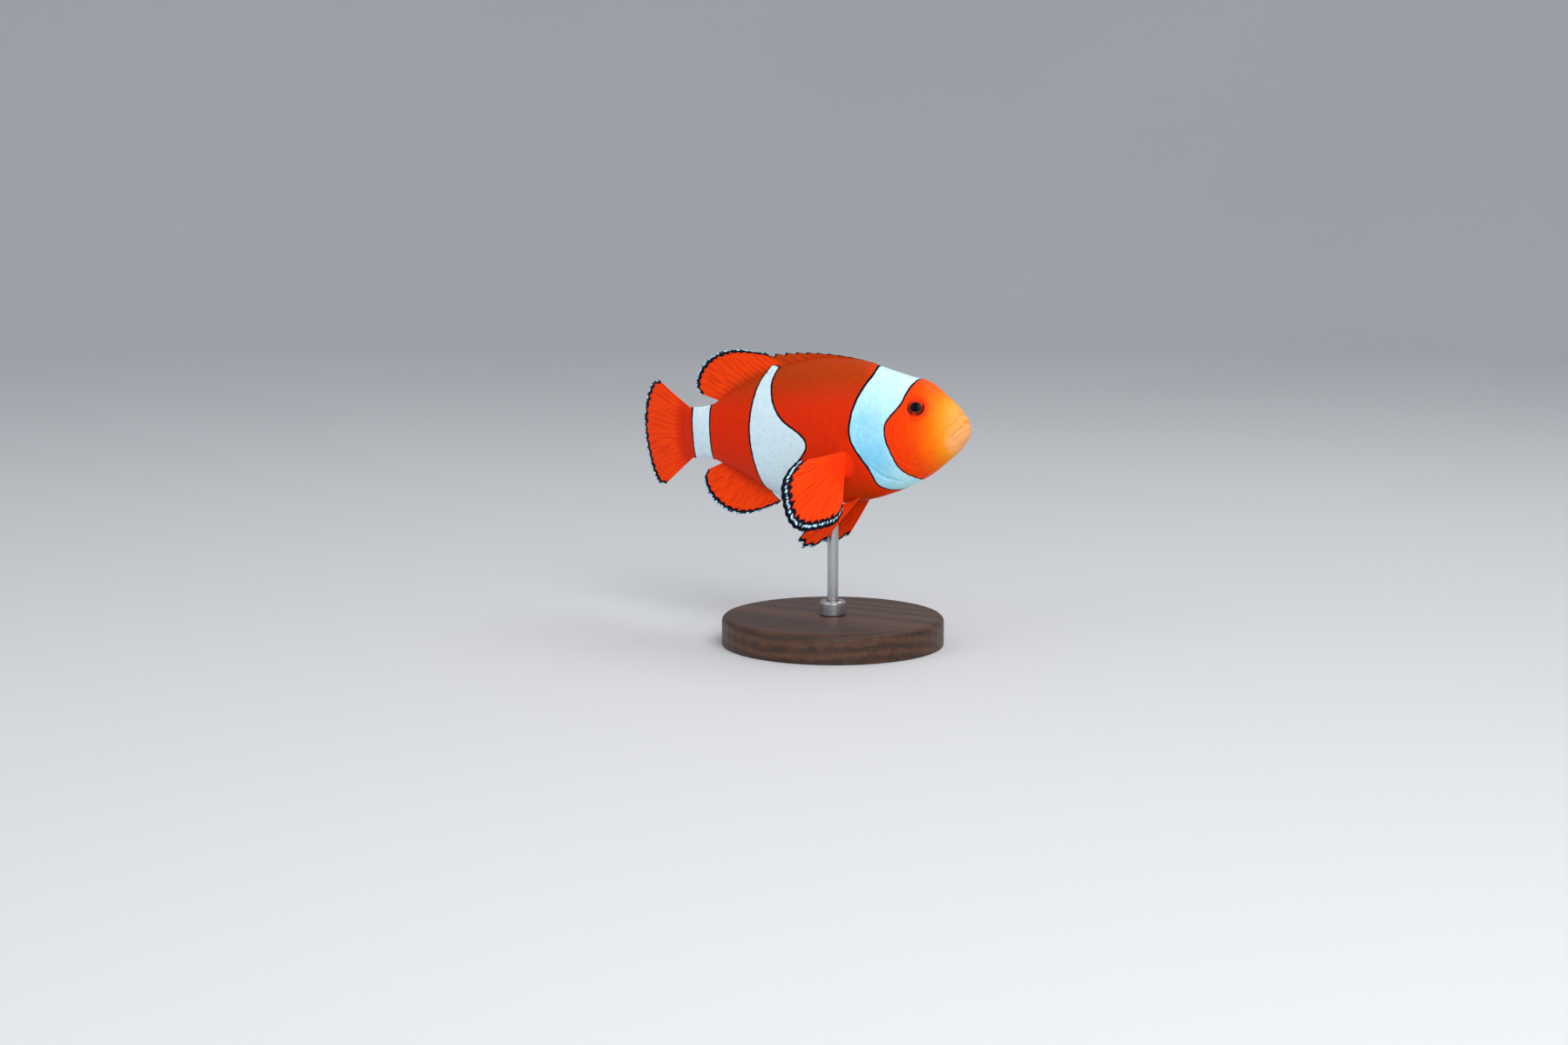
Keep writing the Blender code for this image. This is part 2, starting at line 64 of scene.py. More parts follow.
BACK = (
    (0, -0.005), (0.003, 0.016), (0.010, 0.032), (0.030, 0.063), (0.080, 0.109), (0.120, 0.140),
    (0.165, 0.156), (0.220, 0.172), (0.300, 0.199), (0.420, 0.219), (0.550, 0.213), (0.680, 0.179),
    (0.800, 0.131), (0.920, 0.090), (BODY_END, 0.088),
)
BELLY = (
    (0, -0.005), (0.003, -0.019), (0.010, -0.031), (0.030, -0.056), (0.080, -0.095), (0.140, -0.134),
    (0.200, -0.161), (0.300, -0.193), (0.420, -0.209), (0.540, -0.206), (0.660, -0.178),
    (0.780, -0.123), (0.900, -0.079), (BODY_END, -0.077),
)
HALF_WIDTH = (
    (0, 0), (0.003, 0.016), (0.010, 0.028), (0.030, 0.043), (0.080, 0.065), (0.140, 0.083),
    (0.220, 0.096), (0.320, 0.102), (0.420, 0.100), (0.550, 0.088), (0.700, 0.063), (0.850, 0.040),
    (0.960, 0.026), (BODY_END, 0.012),
)
WIDEST_LEVEL = (
    (0, -0.005), (0.060, 0.002), (0.200, -0.004), (0.400, 0.0), (0.800, 0.008), (BODY_END, 0.004),
)
BACK_KEENNESS = ((0, 0.95), (0.140, 0.88), (0.400, 1.12), (BODY_END, 1.05))
BELLY_KEENNESS = ((0, 0.95), (0.140, 1.02), (0.400, 0.92), (BODY_END, 1.05))

GILL_EDGE = (
    (0.240, 0.128), (0.262, 0.118), (0.288, 0.075), (0.306, 0.045), (0.318, -0.020), (0.296, -0.085),
    (0.250, -0.130), (0.190, -0.152),
)
CHEEK_EDGE = (
    (0.205, 0.098), (0.214, 0.060), (0.212, 0.015), (0.204, -0.045), (0.176, -0.092), (0.130, -0.106),
)
GAPE = ((-0.020, 0.034), (0.004, 0.023), (0.007, 0.011), (0.015, 0.004), (0.026, -0.005), (0.039, -0.022))
LIP_GROOVE = (
    (0.064, -0.030), (0.060, -0.008), (0.049, 0.007), (0.035, 0.016), (0.022, 0.026), (0.017, 0.038),
    (0.017, 0.051), (-0.020, 0.066),
)
CHIN_FOLD = ((0.060, -0.062), (0.045, -0.052), (0.030, -0.048), (0.016, -0.040), (-0.010, -0.020))
SUBORBITAL = ((0.052, 0.030), (0.075, 0.020), (0.105, 0.022), (0.135, 0.030), (0.158, 0.046))

EYE_ALONG, EYE_UP = 0.131, 0.072
EYE_RADIUS, EYE_DEPTH_RADIUS, EYE_SUNK = 0.0275, 0.0155, 0.0075

DORSAL_SPINES, DORSAL_RAYS, ANAL_RAYS, TAIL_RAYS = 11, 15, 14, 17
PECTORAL_RAYS, PELVIC_RAYS = 17, 6
FIN_ROOT = 0.016
SPINY_BASE, SOFT_BASE, ANAL_BASE = (0.288, 0.596), (0.606, 0.868), (0.630, 0.868)
TAIL_HALF_ANGLE = 31.0
PECTORAL_ROOT = ((0.356, -0.048, 0.100), (0.366, -0.110, 0.092))
PECTORAL_WAYS = {
    -1: ((0.80, -0.16, 0.55), (0.45, -0.72, 0.50), (-0.05, -0.95, 0.30)),
    1: ((0.86, 0.10, 0.50), (0.74, -0.42, 0.52), (0.46, -0.78, 0.42)),
}
PECTORAL_WAVE, PECTORAL_WAVES = 0.016, 1.3
PELVIC_ROOT = ((0.352, -0.190, 0.034), (0.376, -0.197, 0.018))
PELVIC_WAYS = ((0.62, -0.74, 0.20), (0.80, -0.58, 0.16), (0.93, -0.34, 0.10))
PELVIC_BOW = 0.03
SIDES = ((1, "left"), (-1, "right"))


def spline(points, root=False):
    """A smooth function through these points, a natural cubic. With root it runs in the square root
    of along, which makes the snout round."""
    x = np.array([p[0] for p in points], float)
    y = np.array([p[1] for p in points], float)
    x = np.sqrt(x) if root else x
    h = np.diff(x)
    rise = np.diff(y) / h
    bends = np.eye(len(x))
    for i in range(1, len(x) - 1):
        bends[i, i - 1 : i + 2] = h[i - 1], 2 * (h[i - 1] + h[i]), h[i]
    m = np.linalg.solve(bends, np.concatenate([[0], 6 * np.diff(rise), [0]]))

    def value(at):
        at = np.clip(np.sqrt(np.maximum(at, 0)) if root else np.asarray(at, float), x[0], x[-1])
        i = np.clip(np.searchsorted(x, at) - 1, 0, len(h) - 1)
        a, b = x[i + 1] - at, at - x[i]
        cubic = (m[i] * a**3 + m[i + 1] * b**3) / (6 * h[i])
        return cubic + (y[i] / h[i] - m[i] * h[i] / 6) * a + (y[i + 1] / h[i] - m[i + 1] * h[i] / 6) * b

    return value


back, belly, half_width = (spline(line, root=True) for line in (BACK, BELLY, HALF_WIDTH))
widest_level, back_keenness, belly_keenness = (
    spline(line) for line in (WIDEST_LEVEL, BACK_KEENNESS, BELLY_KEENNESS)
)


def body_point(along, angle):
    """The body's surface. angle is 0 on the back, pi on the belly, and positive on the left."""
    level = widest_level(along)
    cos, sin = np.cos(angle), np.sin(angle)
    upper = cos > 0
    reach = np.where(upper, back(along) - level, level - belly(along))
    keenness = np.where(upper, back_keenness(along), belly_keenness(along))
    out = half_width(along) * np.sign(sin) * np.abs(sin) ** keenness
    return np.stack(np.broadcast_arrays(along, level + reach * cos, out), -1)


def side_out(along, up):
    """How far out the body's surface is at this height, on the left."""
    level = widest_level(along)
    share = (up - level) / np.where(up > level, back(along) - level, level - belly(along))
    keenness = np.where(up > level, back_keenness(along), belly_keenness(along))
    return half_width(along) * (1 - np.clip(share, -1, 1) ** 2) ** (keenness / 2)


def sweep_path():
    """Tables of along, and of the swept middle line's place and heading there, in body units."""
    along = np.linspace(-0.2, 1.5, 681)
    share = np.clip((along - SWEEP_FROM) / (SWEEP_TO - SWEEP_FROM), 0, 1)
    heading = math.radians(TAIL_SWEEP) * share**1.5
    step = along[1] - along[0]
    x = -np.cumsum(np.cos(heading)) * step
    y = -np.cumsum(np.sin(heading)) * step
    return along, x - np.interp(ROD_ALONG, along, x), y - np.interp(ROD_ALONG, along, y), heading


SWEEP = sweep_path()


def posed(place):
    """From body units to metres over the stand."""
    along, up, out = (np.asarray(place, float)[..., i] for i in range(3))
    x, y, heading = (np.interp(along, SWEEP[0], column) for column in SWEEP[1:])
    x, y = x - out * np.sin(heading), y + out * np.cos(heading)
    cos, sin = math.cos(math.radians(NOSE_UP)), math.sin(math.radians(NOSE_UP))
    lifted = np.stack([x * cos - up * sin, y, x * sin + up * cos], -1)
    return lifted * STANDARD_LENGTH + np.array([0, 0, BODY_HEIGHT])


# ------------------------ small helpers


def ramp(x, low, high):
    """0 at low and 1 at high, smooth between. low may be the larger."""
    t = np.clip((x - low) / (high - low), 0, 1)
    return t * t * (3 - 2 * t)


def hump(x, middle, width):
    return np.exp(-(((x - middle) / width) ** 2))


def swell(distance, *bands):
    """Raised and sunk bands beside a line or round a spot, each as (height, place, width) in mm."""
    return MM * sum(height * hump(distance, place, width) for height, place, width in bands)


def between(share, rise, fall):
    """1 from rise to fall along a line, down to 0 at both its ends."""
    return ramp(share, 0, rise) * ramp(share, 1, fall)


def unit(v):
    return v / np.maximum(np.linalg.norm(v, axis=-1, keepdims=True), 1e-12)


def way_out(azimuth, elevation):
    """From the fish to a place round it: 0 degrees is on its right, and 90 ahead of it."""
    a, e = math.radians(azimuth), math.radians(elevation)
    return Vector((math.sin(a) * math.cos(e), -math.cos(a) * math.cos(e), math.sin(e)))


def smooth_line(points, count=48):
    """Places along a smooth curve through an (along, up) line."""
    run = np.concatenate([[0], np.cumsum([math.dist(a, b) for a, b in zip(points, points[1:])])])
    at = np.linspace(0, run[-1], count)
    return np.stack([spline(list(zip(run, [p[i] for p in points])))(at) for i in range(2)], -1)


def beside(points, along, up):
    """Each place's distance in mm from a smooth line, positive to the right of its run as a fish
    that heads left is drawn, and its share of the way along the line."""
    line = smooth_line(points)
    nearest = np.full(along.shape, np.inf)
    side = np.zeros(along.shape)
    share = np.zeros(along.shape)
    for i, (a, b) in enumerate(zip(line, line[1:])):
        run = b - a
        t = np.clip(((along - a[0]) * run[0] + (up - a[1]) * run[1]) / (run @ run), 0, 1)
        gap = np.hypot(along - a[0] - t * run[0], up - a[1] - t * run[1])
        turn = run[1] * (along - a[0]) - run[0] * (up - a[1])
        closer = gap < nearest
        nearest = np.where(closer, gap, nearest)
        side = np.where(closer, np.sign(turn), side)
        share = np.where(closer, (i + t) / (len(line) - 1), share)
    return nearest * side / MM, share


def add_mesh(name, places, faces, material, smooth=180.0, values=None, uv=None, turn_out=False):
    """A piece from places in metres. values are per vertex, and uv per corner of the faces. turn_out
    turns all the faces outwards."""
    mesh = bpy.data.meshes.new(name)
    mesh.from_pydata(places.reshape(-1, 3).tolist(), [], [list(map(int, face)) for face in faces])
    for key, value in (values or {}).items():
        value = np.asarray(value, np.float32)
        kind, field = ("FLOAT_VECTOR", "vector") if value.ndim > 1 else ("FLOAT", "value")
        mesh.attributes.new(key, kind, "POINT").data.foreach_set(field, value.ravel())
    if uv is not None:
        layer = mesh.uv_layers.new(name="OFBake")
        layer.uv.foreach_set("vector", np.asarray(uv, np.float32).ravel())
    mesh.materials.append(material)
    mesh.shade_smooth()
    if smooth < 180:
        mesh.set_sharp_from_angle(angle=math.radians(smooth))
    if turn_out:
        bm = bmesh.new()
        bm.from_mesh(mesh)
        bmesh.ops.recalc_face_normals(bm, faces=bm.faces)
        bm.to_mesh(mesh)
        bm.free()
    piece = bpy.data.objects.new(name, mesh)
    bpy.context.scene.collection.objects.link(piece)
    return piece


def grid_faces(rows, columns, start=0, closed=False):
    """Quads of a grid of vertices, numbered row by row. closed joins the last column to the first."""
    i, j = np.meshgrid(np.arange(rows - 1), np.arange(columns - (not closed)), indexing="ij")
    after = (j + 1) % columns
    corners = (i * columns + j, i * columns + after, (i + 1) * columns + after, (i + 1) * columns + j)
    return np.stack(corners, -1).reshape(-1, 4) + start


def border(index):
    """The vertices round a grid of their numbers: down its first column, then along its last row."""
    return [*index[:, 0], *index[-1, 1:], *index[-2::-1, -1], *index[0, -2:0:-1]]


# ------------------------ the markings

# Edges of the white bars as (girth, along), with girth 0 on the back and 1 on the belly
HEAD_BAR_FRONT = spline((
    (0, 0.150), (0.08, 0.151), (0.24, 0.167), (0.34, 0.185), (0.42, 0.218), (0.50, 0.226),
    (0.60, 0.213), (0.72, 0.196), (0.86, 0.166), (1, 0.156),
))
HEAD_BAR_REAR = spline((
    (0, 0.277), (0.17, 0.276), (0.31, 0.306), (0.42, 0.329), (0.51, 0.333), (0.62, 0.300),
    (0.70, 0.281), (0.80, 0.270), (0.90, 0.238), (1, 0.208),
))
MID_BAR_FRONT = spline((
    (0, 0.628), (0.18, 0.634), (0.32, 0.622), (0.41, 0.594), (0.46, 0.560), (0.50, 0.517),
    (0.54, 0.494), (0.59, 0.507), (0.65, 0.545), (0.74, 0.586), (0.86, 0.612), (1, 0.622),
))
MID_BAR_REAR = spline(((0, 0.672), (0.25, 0.690), (0.5, 0.706), (0.75, 0.696), (1, 0.682)))
TAIL_BAR_FRONT = spline(((0, 0.906), (0.5, 0.888), (1, 0.906)))
TAIL_BAR_REAR = spline(((0, 0.984), (0.5, 0.968), (1, 0.984)))
# Each with the widths of its front and rear black rims on the upper back, in mm
BARS = (
    (HEAD_BAR_FRONT, 0.42, HEAD_BAR_REAR, 0.54),
    (MID_BAR_FRONT, 0.55, MID_BAR_REAR, 0.56),
    (TAIL_BAR_FRONT, 0.50, TAIL_BAR_REAR, 0.54),
)


def markings(along, angle):
    """How deep in a white bar each place is, and how wide the black rim nearby is, in mm."""
    girth = np.abs(angle) / math.pi
    step = 0.01
    above, below = body_point(along, np.abs(angle) - step), body_point(along, np.abs(angle) + step)
    around = np.linalg.norm(below - above, axis=-1) * math.pi / (2 * step)  # per unit of girth
    depth = np.full(np.shape(along), -np.inf)
    rim = np.zeros(np.shape(along))
    for front, front_rim, rear, rear_rim in BARS:
        for edge, width, way in ((front, front_rim, 1), (rear, rear_rim, -1)):
            slope = (edge(girth + step) - edge(girth - step)) / (2 * step) / np.maximum(around, 0.02)
            gap = way * (along - edge(girth)) / np.sqrt(1 + slope**2)
            if way == 1:
                bar, bar_rim = gap, np.full(np.shape(gap), width)
            else:
                bar_rim = np.where(gap < bar, width, bar_rim)
                bar = np.minimum(gap, bar)
        rim = np.where(bar > depth, bar_rim, rim)
        depth = np.maximum(bar, depth)
    return depth / MM, rim * (1.12 - 0.5 * girth)


# ------------------------ the skin's form

SCALES_FROM = 0.150
COAT_DEPTH = 0.10 * MM
EYE_SPOT = np.array([EYE_ALONG, EYE_UP, float(side_out(EYE_ALONG, EYE_UP))])
NOSTRIL = np.array([0.083, 0.064, float(side_out(0.083, 0.064))])


def from_spot(place, spot):
    """The distance in mm from a spot that is on both sides of the fish."""
    return np.linalg.norm(place * (1, 1, 0) + np.abs(place) * (0, 0, 1) - spot, axis=-1) / MM


def mouth_relief(along, up):
    """The closed mouth: its crease between two rolled lips, the groove behind the upper one, and the
    folds under the lower one."""
    gape, way = beside(GAPE, along, up)
    relief = swell(gape, (-0.33, 0, 0.13), (0.17, -0.62, 0.50), (0.20, 0.50, 0.40))
    relief += swell(gape, (-0.07, 1.05, 0.16)) * ramp(way, 0.45, 0.60)
    relief *= ramp(way, 1.0, 0.86)
    groove, way = beside(LIP_GROOVE, along, up)
    relief += swell(groove, (-0.22, 0, 0.20), (0.08, -0.45, 0.35)) * ramp(way, 0.0, 0.2)
    fold, way = beside(CHIN_FOLD, along, up)
    return relief + swell(fold, (-0.07, 0, 0.30)) * between(way, 0.15, 0.6)


def face_relief(place):
    """The bone under the eye, the socket with the ring round it, and the nostril."""
    bone, way = beside(SUBORBITAL, place[:, 0], place[:, 1])
    relief = swell(bone, (-0.10, 0, 0.22), (0.07, -0.6, 0.5)) * between(way, 0.2, 0.8)
    eye = from_spot(place, EYE_SPOT)
    relief += swell(eye, (-0.10, 1.93, 0.12), (0.11, 2.30, 0.36)) - 0.80 * MM * ramp(eye, 1.83, 1.45)
    return relief + swell(from_spot(place, NOSTRIL), (-0.32, 0, 0.22), (0.06, 0.42, 0.18))


def plate_relief(along, up):
    """The free edges of the cheek's and the gill cover's bones. In front of an edge the bone stands
    up, and the skin behind it lies low."""
    relief = 0 * along
    for line, high, width, gap, end in (
        (CHEEK_EDGE, 0.10, 3, (-0.10, 0.20, 0.18), 0.15),
        (GILL_EDGE, 0.12, 4, (-0.34, 0.25, 0.22), 0.12),
    ):
        edge, way = beside(line, along, up)
        bone = high * MM * ramp(-edge, -high, high) * ramp(-edge, width, 0)
        relief += (bone + swell(edge, gap)) * between(way, end, 1 - end)
    return relief


def throat_relief(along, angle):
    """Folds of the gill membrane under the throat."""
    from_belly = np.degrees(math.pi - np.abs(angle))
    length = ramp(along, 0.05, 0.09) * ramp(along, 0.235, 0.19)
    relief = -0.10 * MM * hump(from_belly, 16, 4) * length
    for fold in (30, 42, 53):
        relief = relief - 0.05 * MM * hump(from_belly, fold, 4) * length
    return relief


def fin_seat_relief(along, up, out):
    """Fleshy seats that the fins grow from."""
    relief = 0 * along
    for (first, last), above in ((SPINY_BASE, 1), (SOFT_BASE, 1), (ANAL_BASE, -1)):
        near = ramp(along, first - 0.02, first + 0.02) * ramp(along, last + 0.02, last - 0.01)
        relief = relief + near * swell(out / MM, (0.30, 0, 0.7)) * (up * above > 0)
    (a, b, _), (c, d, _) = PECTORAL_ROOT
    seat, _ = beside(((a + 0.006, b + 0.006), (c + 0.006, d - 0.004)), along, up)
    return relief + swell(seat, (0.55, 0, 1.25))


def relief(along, angle, place):
    """How far the skin stands out from the body's plain surface."""
    up, out = place[..., 1], place[..., 2]
    total = -COAT_DEPTH * ramp(along, SCALES_FROM - 0.03, SCALES_FROM + 0.03)
    total = total + fin_seat_relief(along, up, out)
    head = along < 0.36
    near = place[head]
    a, u = near[:, 0], near[:, 1]
    total[head] += face_relief(near) + plate_relief(a, u) + throat_relief(a, angle[head])
    total[head] += mouth_relief(a, u) * ramp(a, 0.11, 0.08)
    return total


def skin_point(along, angle):
    """Places on the skin and its outward directions, before any pose."""
    along, angle = np.broadcast_arrays(np.asarray(along, float), np.asarray(angle, float))
    step = 0.0008
    low = np.maximum(along - step, 1e-7)
    back_way = body_point(along + step, angle) - body_point(low, angle)
    around = body_point(along, angle + step) - body_point(along, angle - step)
    normal = unit(np.cross(around, back_way))
    place = body_point(along, angle)
    return place + normal * relief(along, angle, place)[..., None], normal


# Rows run from the snout to the tail, close together on the head
SKIN_COLUMNS = 228
FINE_ROW, COARSE_ROW = 0.100 * MM, 0.235 * MM


def skin_rows():
    along = BODY_END * np.linspace(0, 1, 6001) ** 2
    radius = (back(along) - belly(along)) / 4 + half_width(along) / 2
    run = np.concatenate([[0], np.cumsum(np.hypot(np.diff(along), np.diff(radius)))])
    spacing = FINE_ROW + (COARSE_ROW - FINE_ROW) * ramp(along, 0.06, 0.34)
    count = np.concatenate([[0], np.cumsum(np.diff(run) / spacing[1:])])
    rows = int(count[-1])
    return np.interp(np.arange(1, rows + 1) * count[-1] / rows, count, along)


ROWS = skin_rows()


def unwrapped(along, angle):
    """The skin's own unwrap: rows along the fish, and the way round from the belly."""
    row = np.interp(along, ROWS, np.arange(1, len(ROWS) + 1)) / len(ROWS)
    return np.stack(np.broadcast_arrays(row, 0.5 + angle / (2 * math.pi)), -1)


def make_skin(material):
    angles = -math.pi + 2 * math.pi * np.arange(SKIN_COLUMNS) / SKIN_COLUMNS
    along, angle = np.meshgrid(ROWS, angles, indexing="ij")
    place, _ = skin_point(along, angle)
    place[..., 2] *= 1 - 0.75 * ramp(along, 1.0, BODY_END)  # thinner where the tail fin holds it
    bar, rim = markings(along, angle)
    rows, columns = along.shape
    tip = place[0].mean(axis=0, keepdims=True)
    places = np.concatenate([tip, place.reshape(-1, 3)])
    faces = [*grid_faces(rows, columns, start=1, closed=True)]
    # The unwrap has one column more than the skin, which closes on itself
    u, v = unwrapped(ROWS, 0.0)[:, 0], np.arange(columns + 1) / columns
    sheet = np.stack(np.meshgrid(u, v, indexing="ij"), -1).reshape(-1, 2)
    uv = [sheet[grid_faces(rows, columns + 1)].reshape(-1, 2)]
    for j in range(columns):
        faces.append((0, 1 + (j + 1) % columns, 1 + j))
        uv.append([(0, (j + 0.5) / columns), (u[0], v[j + 1]), (u[0], v[j])])
    faces.append(range(1 + (rows - 1) * columns, 1 + rows * columns))
    uv.append([(1, v[j]) for j in range(columns)])
    values = {
        "place": np.concatenate([tip, body_point(along, angle).reshape(-1, 3)]),
        "bar": np.append(bar[0, 0], bar), "rim": np.append(rim[0, 0], rim),
        "tone": np.ones(len(places)), "reach": np.zeros(len(places)),
    }
    uv = np.concatenate(uv)
    skin = add_mesh("body_skin", posed(places), faces, material, values=values, uv=uv)
    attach(skin, "root")
    flesh = ("head", "upper_lip", "lower_jaw", "gill_cover_left", "gill_cover_right", "trunk", "tail_root")
    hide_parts(*flesh)


# ------------------------ materials


def srgb(red, green, blue):
    """A screen colour, 0 to 255, as the linear colour that a shader takes."""
    shares = [c / 255 for c in (red, green, blue)]
    return tuple(c / 12.92 if c < 0.04045 else ((c + 0.055) / 1.055) ** 2.4 for c in shares) + (1.0,)


class Graph:
    """A material whose nodes are wired by calls that take numbers, colours or other nodes' outputs."""

    def __init__(self, name, **sockets):
        self.material = bpy.data.materials.new(name)
        self.material.use_nodes = True
        self.tree = self.material.node_tree
        self.shader = self.tree.nodes["Principled BSDF"]
        for key, value in sockets.items():
            self.shader.inputs[key.replace("_", " ")].default_value = value

    def add(self, kind, inputs, output=0, **settings):
        node = self.tree.nodes.new("ShaderNode" + kind)
        for key, value in settings.items():
            setattr(node, key, value)
        for key, value in inputs.items():
            if isinstance(value, bpy.types.NodeSocket):
                self.tree.links.new(value, node.inputs[key])
            else:
                node.inputs[key].default_value = value
        return node.outputs[output]

    def attribute(self, name, output="Fac"):
        return self.add("Attribute", {}, output, attribute_name=name)

    def math(self, operation, *values):
        return self.add("Math", dict(enumerate(values)), operation=operation)

    def times(self, a, b):
        return self.math("MULTIPLY", a, b)

    def times_plus(self, a, b, c):
        return self.math("MULTIPLY_ADD", a, b, c)

    def distance(self, a, b):
        return self.add("VectorMath", {0: a, 1: b}, 1, operation="DISTANCE")

    def split(self, vector, count=3):
        """The first parts of a vector."""
        return (self.add("SeparateXYZ", {0: vector}, i) for i in range(count))

    def join(self, *parts):
        return self.add("CombineXYZ", dict(enumerate(parts)))

    def ramp(self, value, low, high, to_low=0.0, to_high=1.0):
        """to_low where the value is low, to_high where it is high, smooth between."""
        if low > high:
            low, high, to_low, to_high = high, low, to_high, to_low
        ends = {"Value": value, 1: low, 2: high, 3: to_low, 4: to_high}
        return self.add("MapRange", ends, interpolation_type="SMOOTHSTEP")

    def mix(self, share, a, b, blend="MIX"):
        inputs = {0: share, 6: a, 7: b}
        return self.add("Mix", inputs, 2, data_type="RGBA", blend_type=blend)

    def colours(self, value, stops):
        """A colour that runs smoothly through these (value, colour) stops."""
        span = stops[-1][0]
        node = self.tree.nodes.new("ShaderNodeValToRGB")
        self.tree.links.new(self.math("DIVIDE", value, span), node.inputs[0])
        ends = node.color_ramp.elements
        ends[0].color = stops[0][1]
        ends[1].color = stops[-1][1]
        for at, colour in stops[1:-1]:
            ends.new(at / span).color = colour
        return node.outputs[0]

    def noise(self, vector, scale, detail=2.0, roughness=0.5):
        inputs = {"Vector": vector, "Scale": scale, "Detail": detail, "Roughness": roughness}
        return self.add("TexNoise", inputs)

    def uneven(self, vector, *settings):
        """Noise about 0."""
        return self.math("SUBTRACT", self.noise(vector, *settings), 0.5)

    def stretched(self, place, *scale):
        return self.add("Mapping", {"Vector": place, "Scale": scale})

    def bump(self, height, distance, strength):
        return self.add("Bump", {"Height": height, "Distance": distance, "Strength": strength})

    def finish(self, colour, roughness=None, normal=None):
        """Wires the shader to what is given, and returns the material."""
        for key, value in (("Base Color", colour), ("Roughness", roughness), ("Normal", normal)):
            if value:
                self.tree.links.new(value, self.shader.inputs[key])
        return self.material


# The bars' whites: the head bar's white, its darker and bluer painted shade, its foot's white, and the rear
# bars' white
BAR_WHITE = srgb(206, 248, 255)
BAR_PAINTED_SHADE = srgb(136, 219, 252)
BAR_FOOT = srgb(196, 247, 255)
BAR_REAR = srgb(218, 242, 250)
RIM_BLACK = srgb(8, 12, 26)
FLANK = srgb(225, 43, 1)
# The back's darker colour is painted shade: the flank's orange darkened on the back
PAINTED_BACK_SHADE = srgb(180, 57, 4)
BELLY_ORANGE = srgb(214, 58, 3)
# The face from the snout back, by along
FACE = (
    (0.000, srgb(255, 168, 92)), (0.040, srgb(255, 163, 64)), (0.060, srgb(255, 148, 26)),
    (0.085, srgb(255, 120, 8)), (0.110, srgb(255, 97, 4)), (0.135, srgb(255, 79, 4)),
    (0.165, srgb(255, 66, 3)), (0.215, srgb(250, 57, 2)),
)
LIPS = srgb(255, 174, 106)
EYE_RING = srgb(236, 56, 4)
PECTORAL_LOBE = srgb(250, 52, 3)
# Painted shade that darkens each scale toward its free rear edge
SCALE_EDGE_PAINTED_SHADE = srgb(150, 120, 120)
MOUTH_SPOT, LOBE_SPOT = (0.004, -0.036, 0.0), (0.376, -0.088, 0.096)
FIN_ORANGE = srgb(255, 69, 3)
FIN_MIDDLE = srgb(246, 58, 2)
FIN_DEEP = srgb(224, 43, 1)
FIN_TURNS = (0.06, 0.40)  # the reaches where a fin's colour leaves the body's and where it is its own


def add_bars(g, colour, place, bar, rim):
    """White where bar is above 0, and black for rim mm outside it, with slightly uneven edges. The
    head bar's white is darker and bluer in its middle and lower part, as painted shade, and whiter at
    its foot, and the bars behind it are plainer."""
    depth = g.math("ADD", bar, g.times(g.uneven(place, 55.0, 3.0), 0.28))
    outer = g.math("ADD", depth, rim)
    along, level = g.split(place, 2)
    # Painted shade: the head bar's white darkened and blued in its middle and lower part, less at its front
    # and foot
    shade = g.times_plus(g.uneven(place, 16.0, 2.0), 0.16, level)
    shade = g.times(g.ramp(shade, 0.18, -0.08), g.ramp(along, 0.16, 0.26))
    shade = g.times(shade, g.ramp(level, -0.18, -0.08, 0.30, 1.0))
    white = g.mix(shade, g.mix(g.ramp(level, -0.06, -0.16), BAR_WHITE, BAR_FOOT), BAR_PAINTED_SHADE)
    white = g.mix(g.ramp(along, 0.36, 0.50), white, BAR_REAR)
    colour = g.mix(g.ramp(outer, -0.10, 0.10), colour, RIM_BLACK)
    return g.mix(g.ramp(depth, -0.06, 0.06), colour, white)


def plain_flesh(g, up):
    """The body's orange: darker on the back as painted shade, lighter on the belly."""
    # Painted shade: the body's orange darkens towards the back
    colour = g.mix(g.ramp(up, 0.06, 0.19), FLANK, PAINTED_BACK_SHADE)
    return g.mix(g.ramp(up, -0.10, -0.19), colour, BELLY_ORANGE)


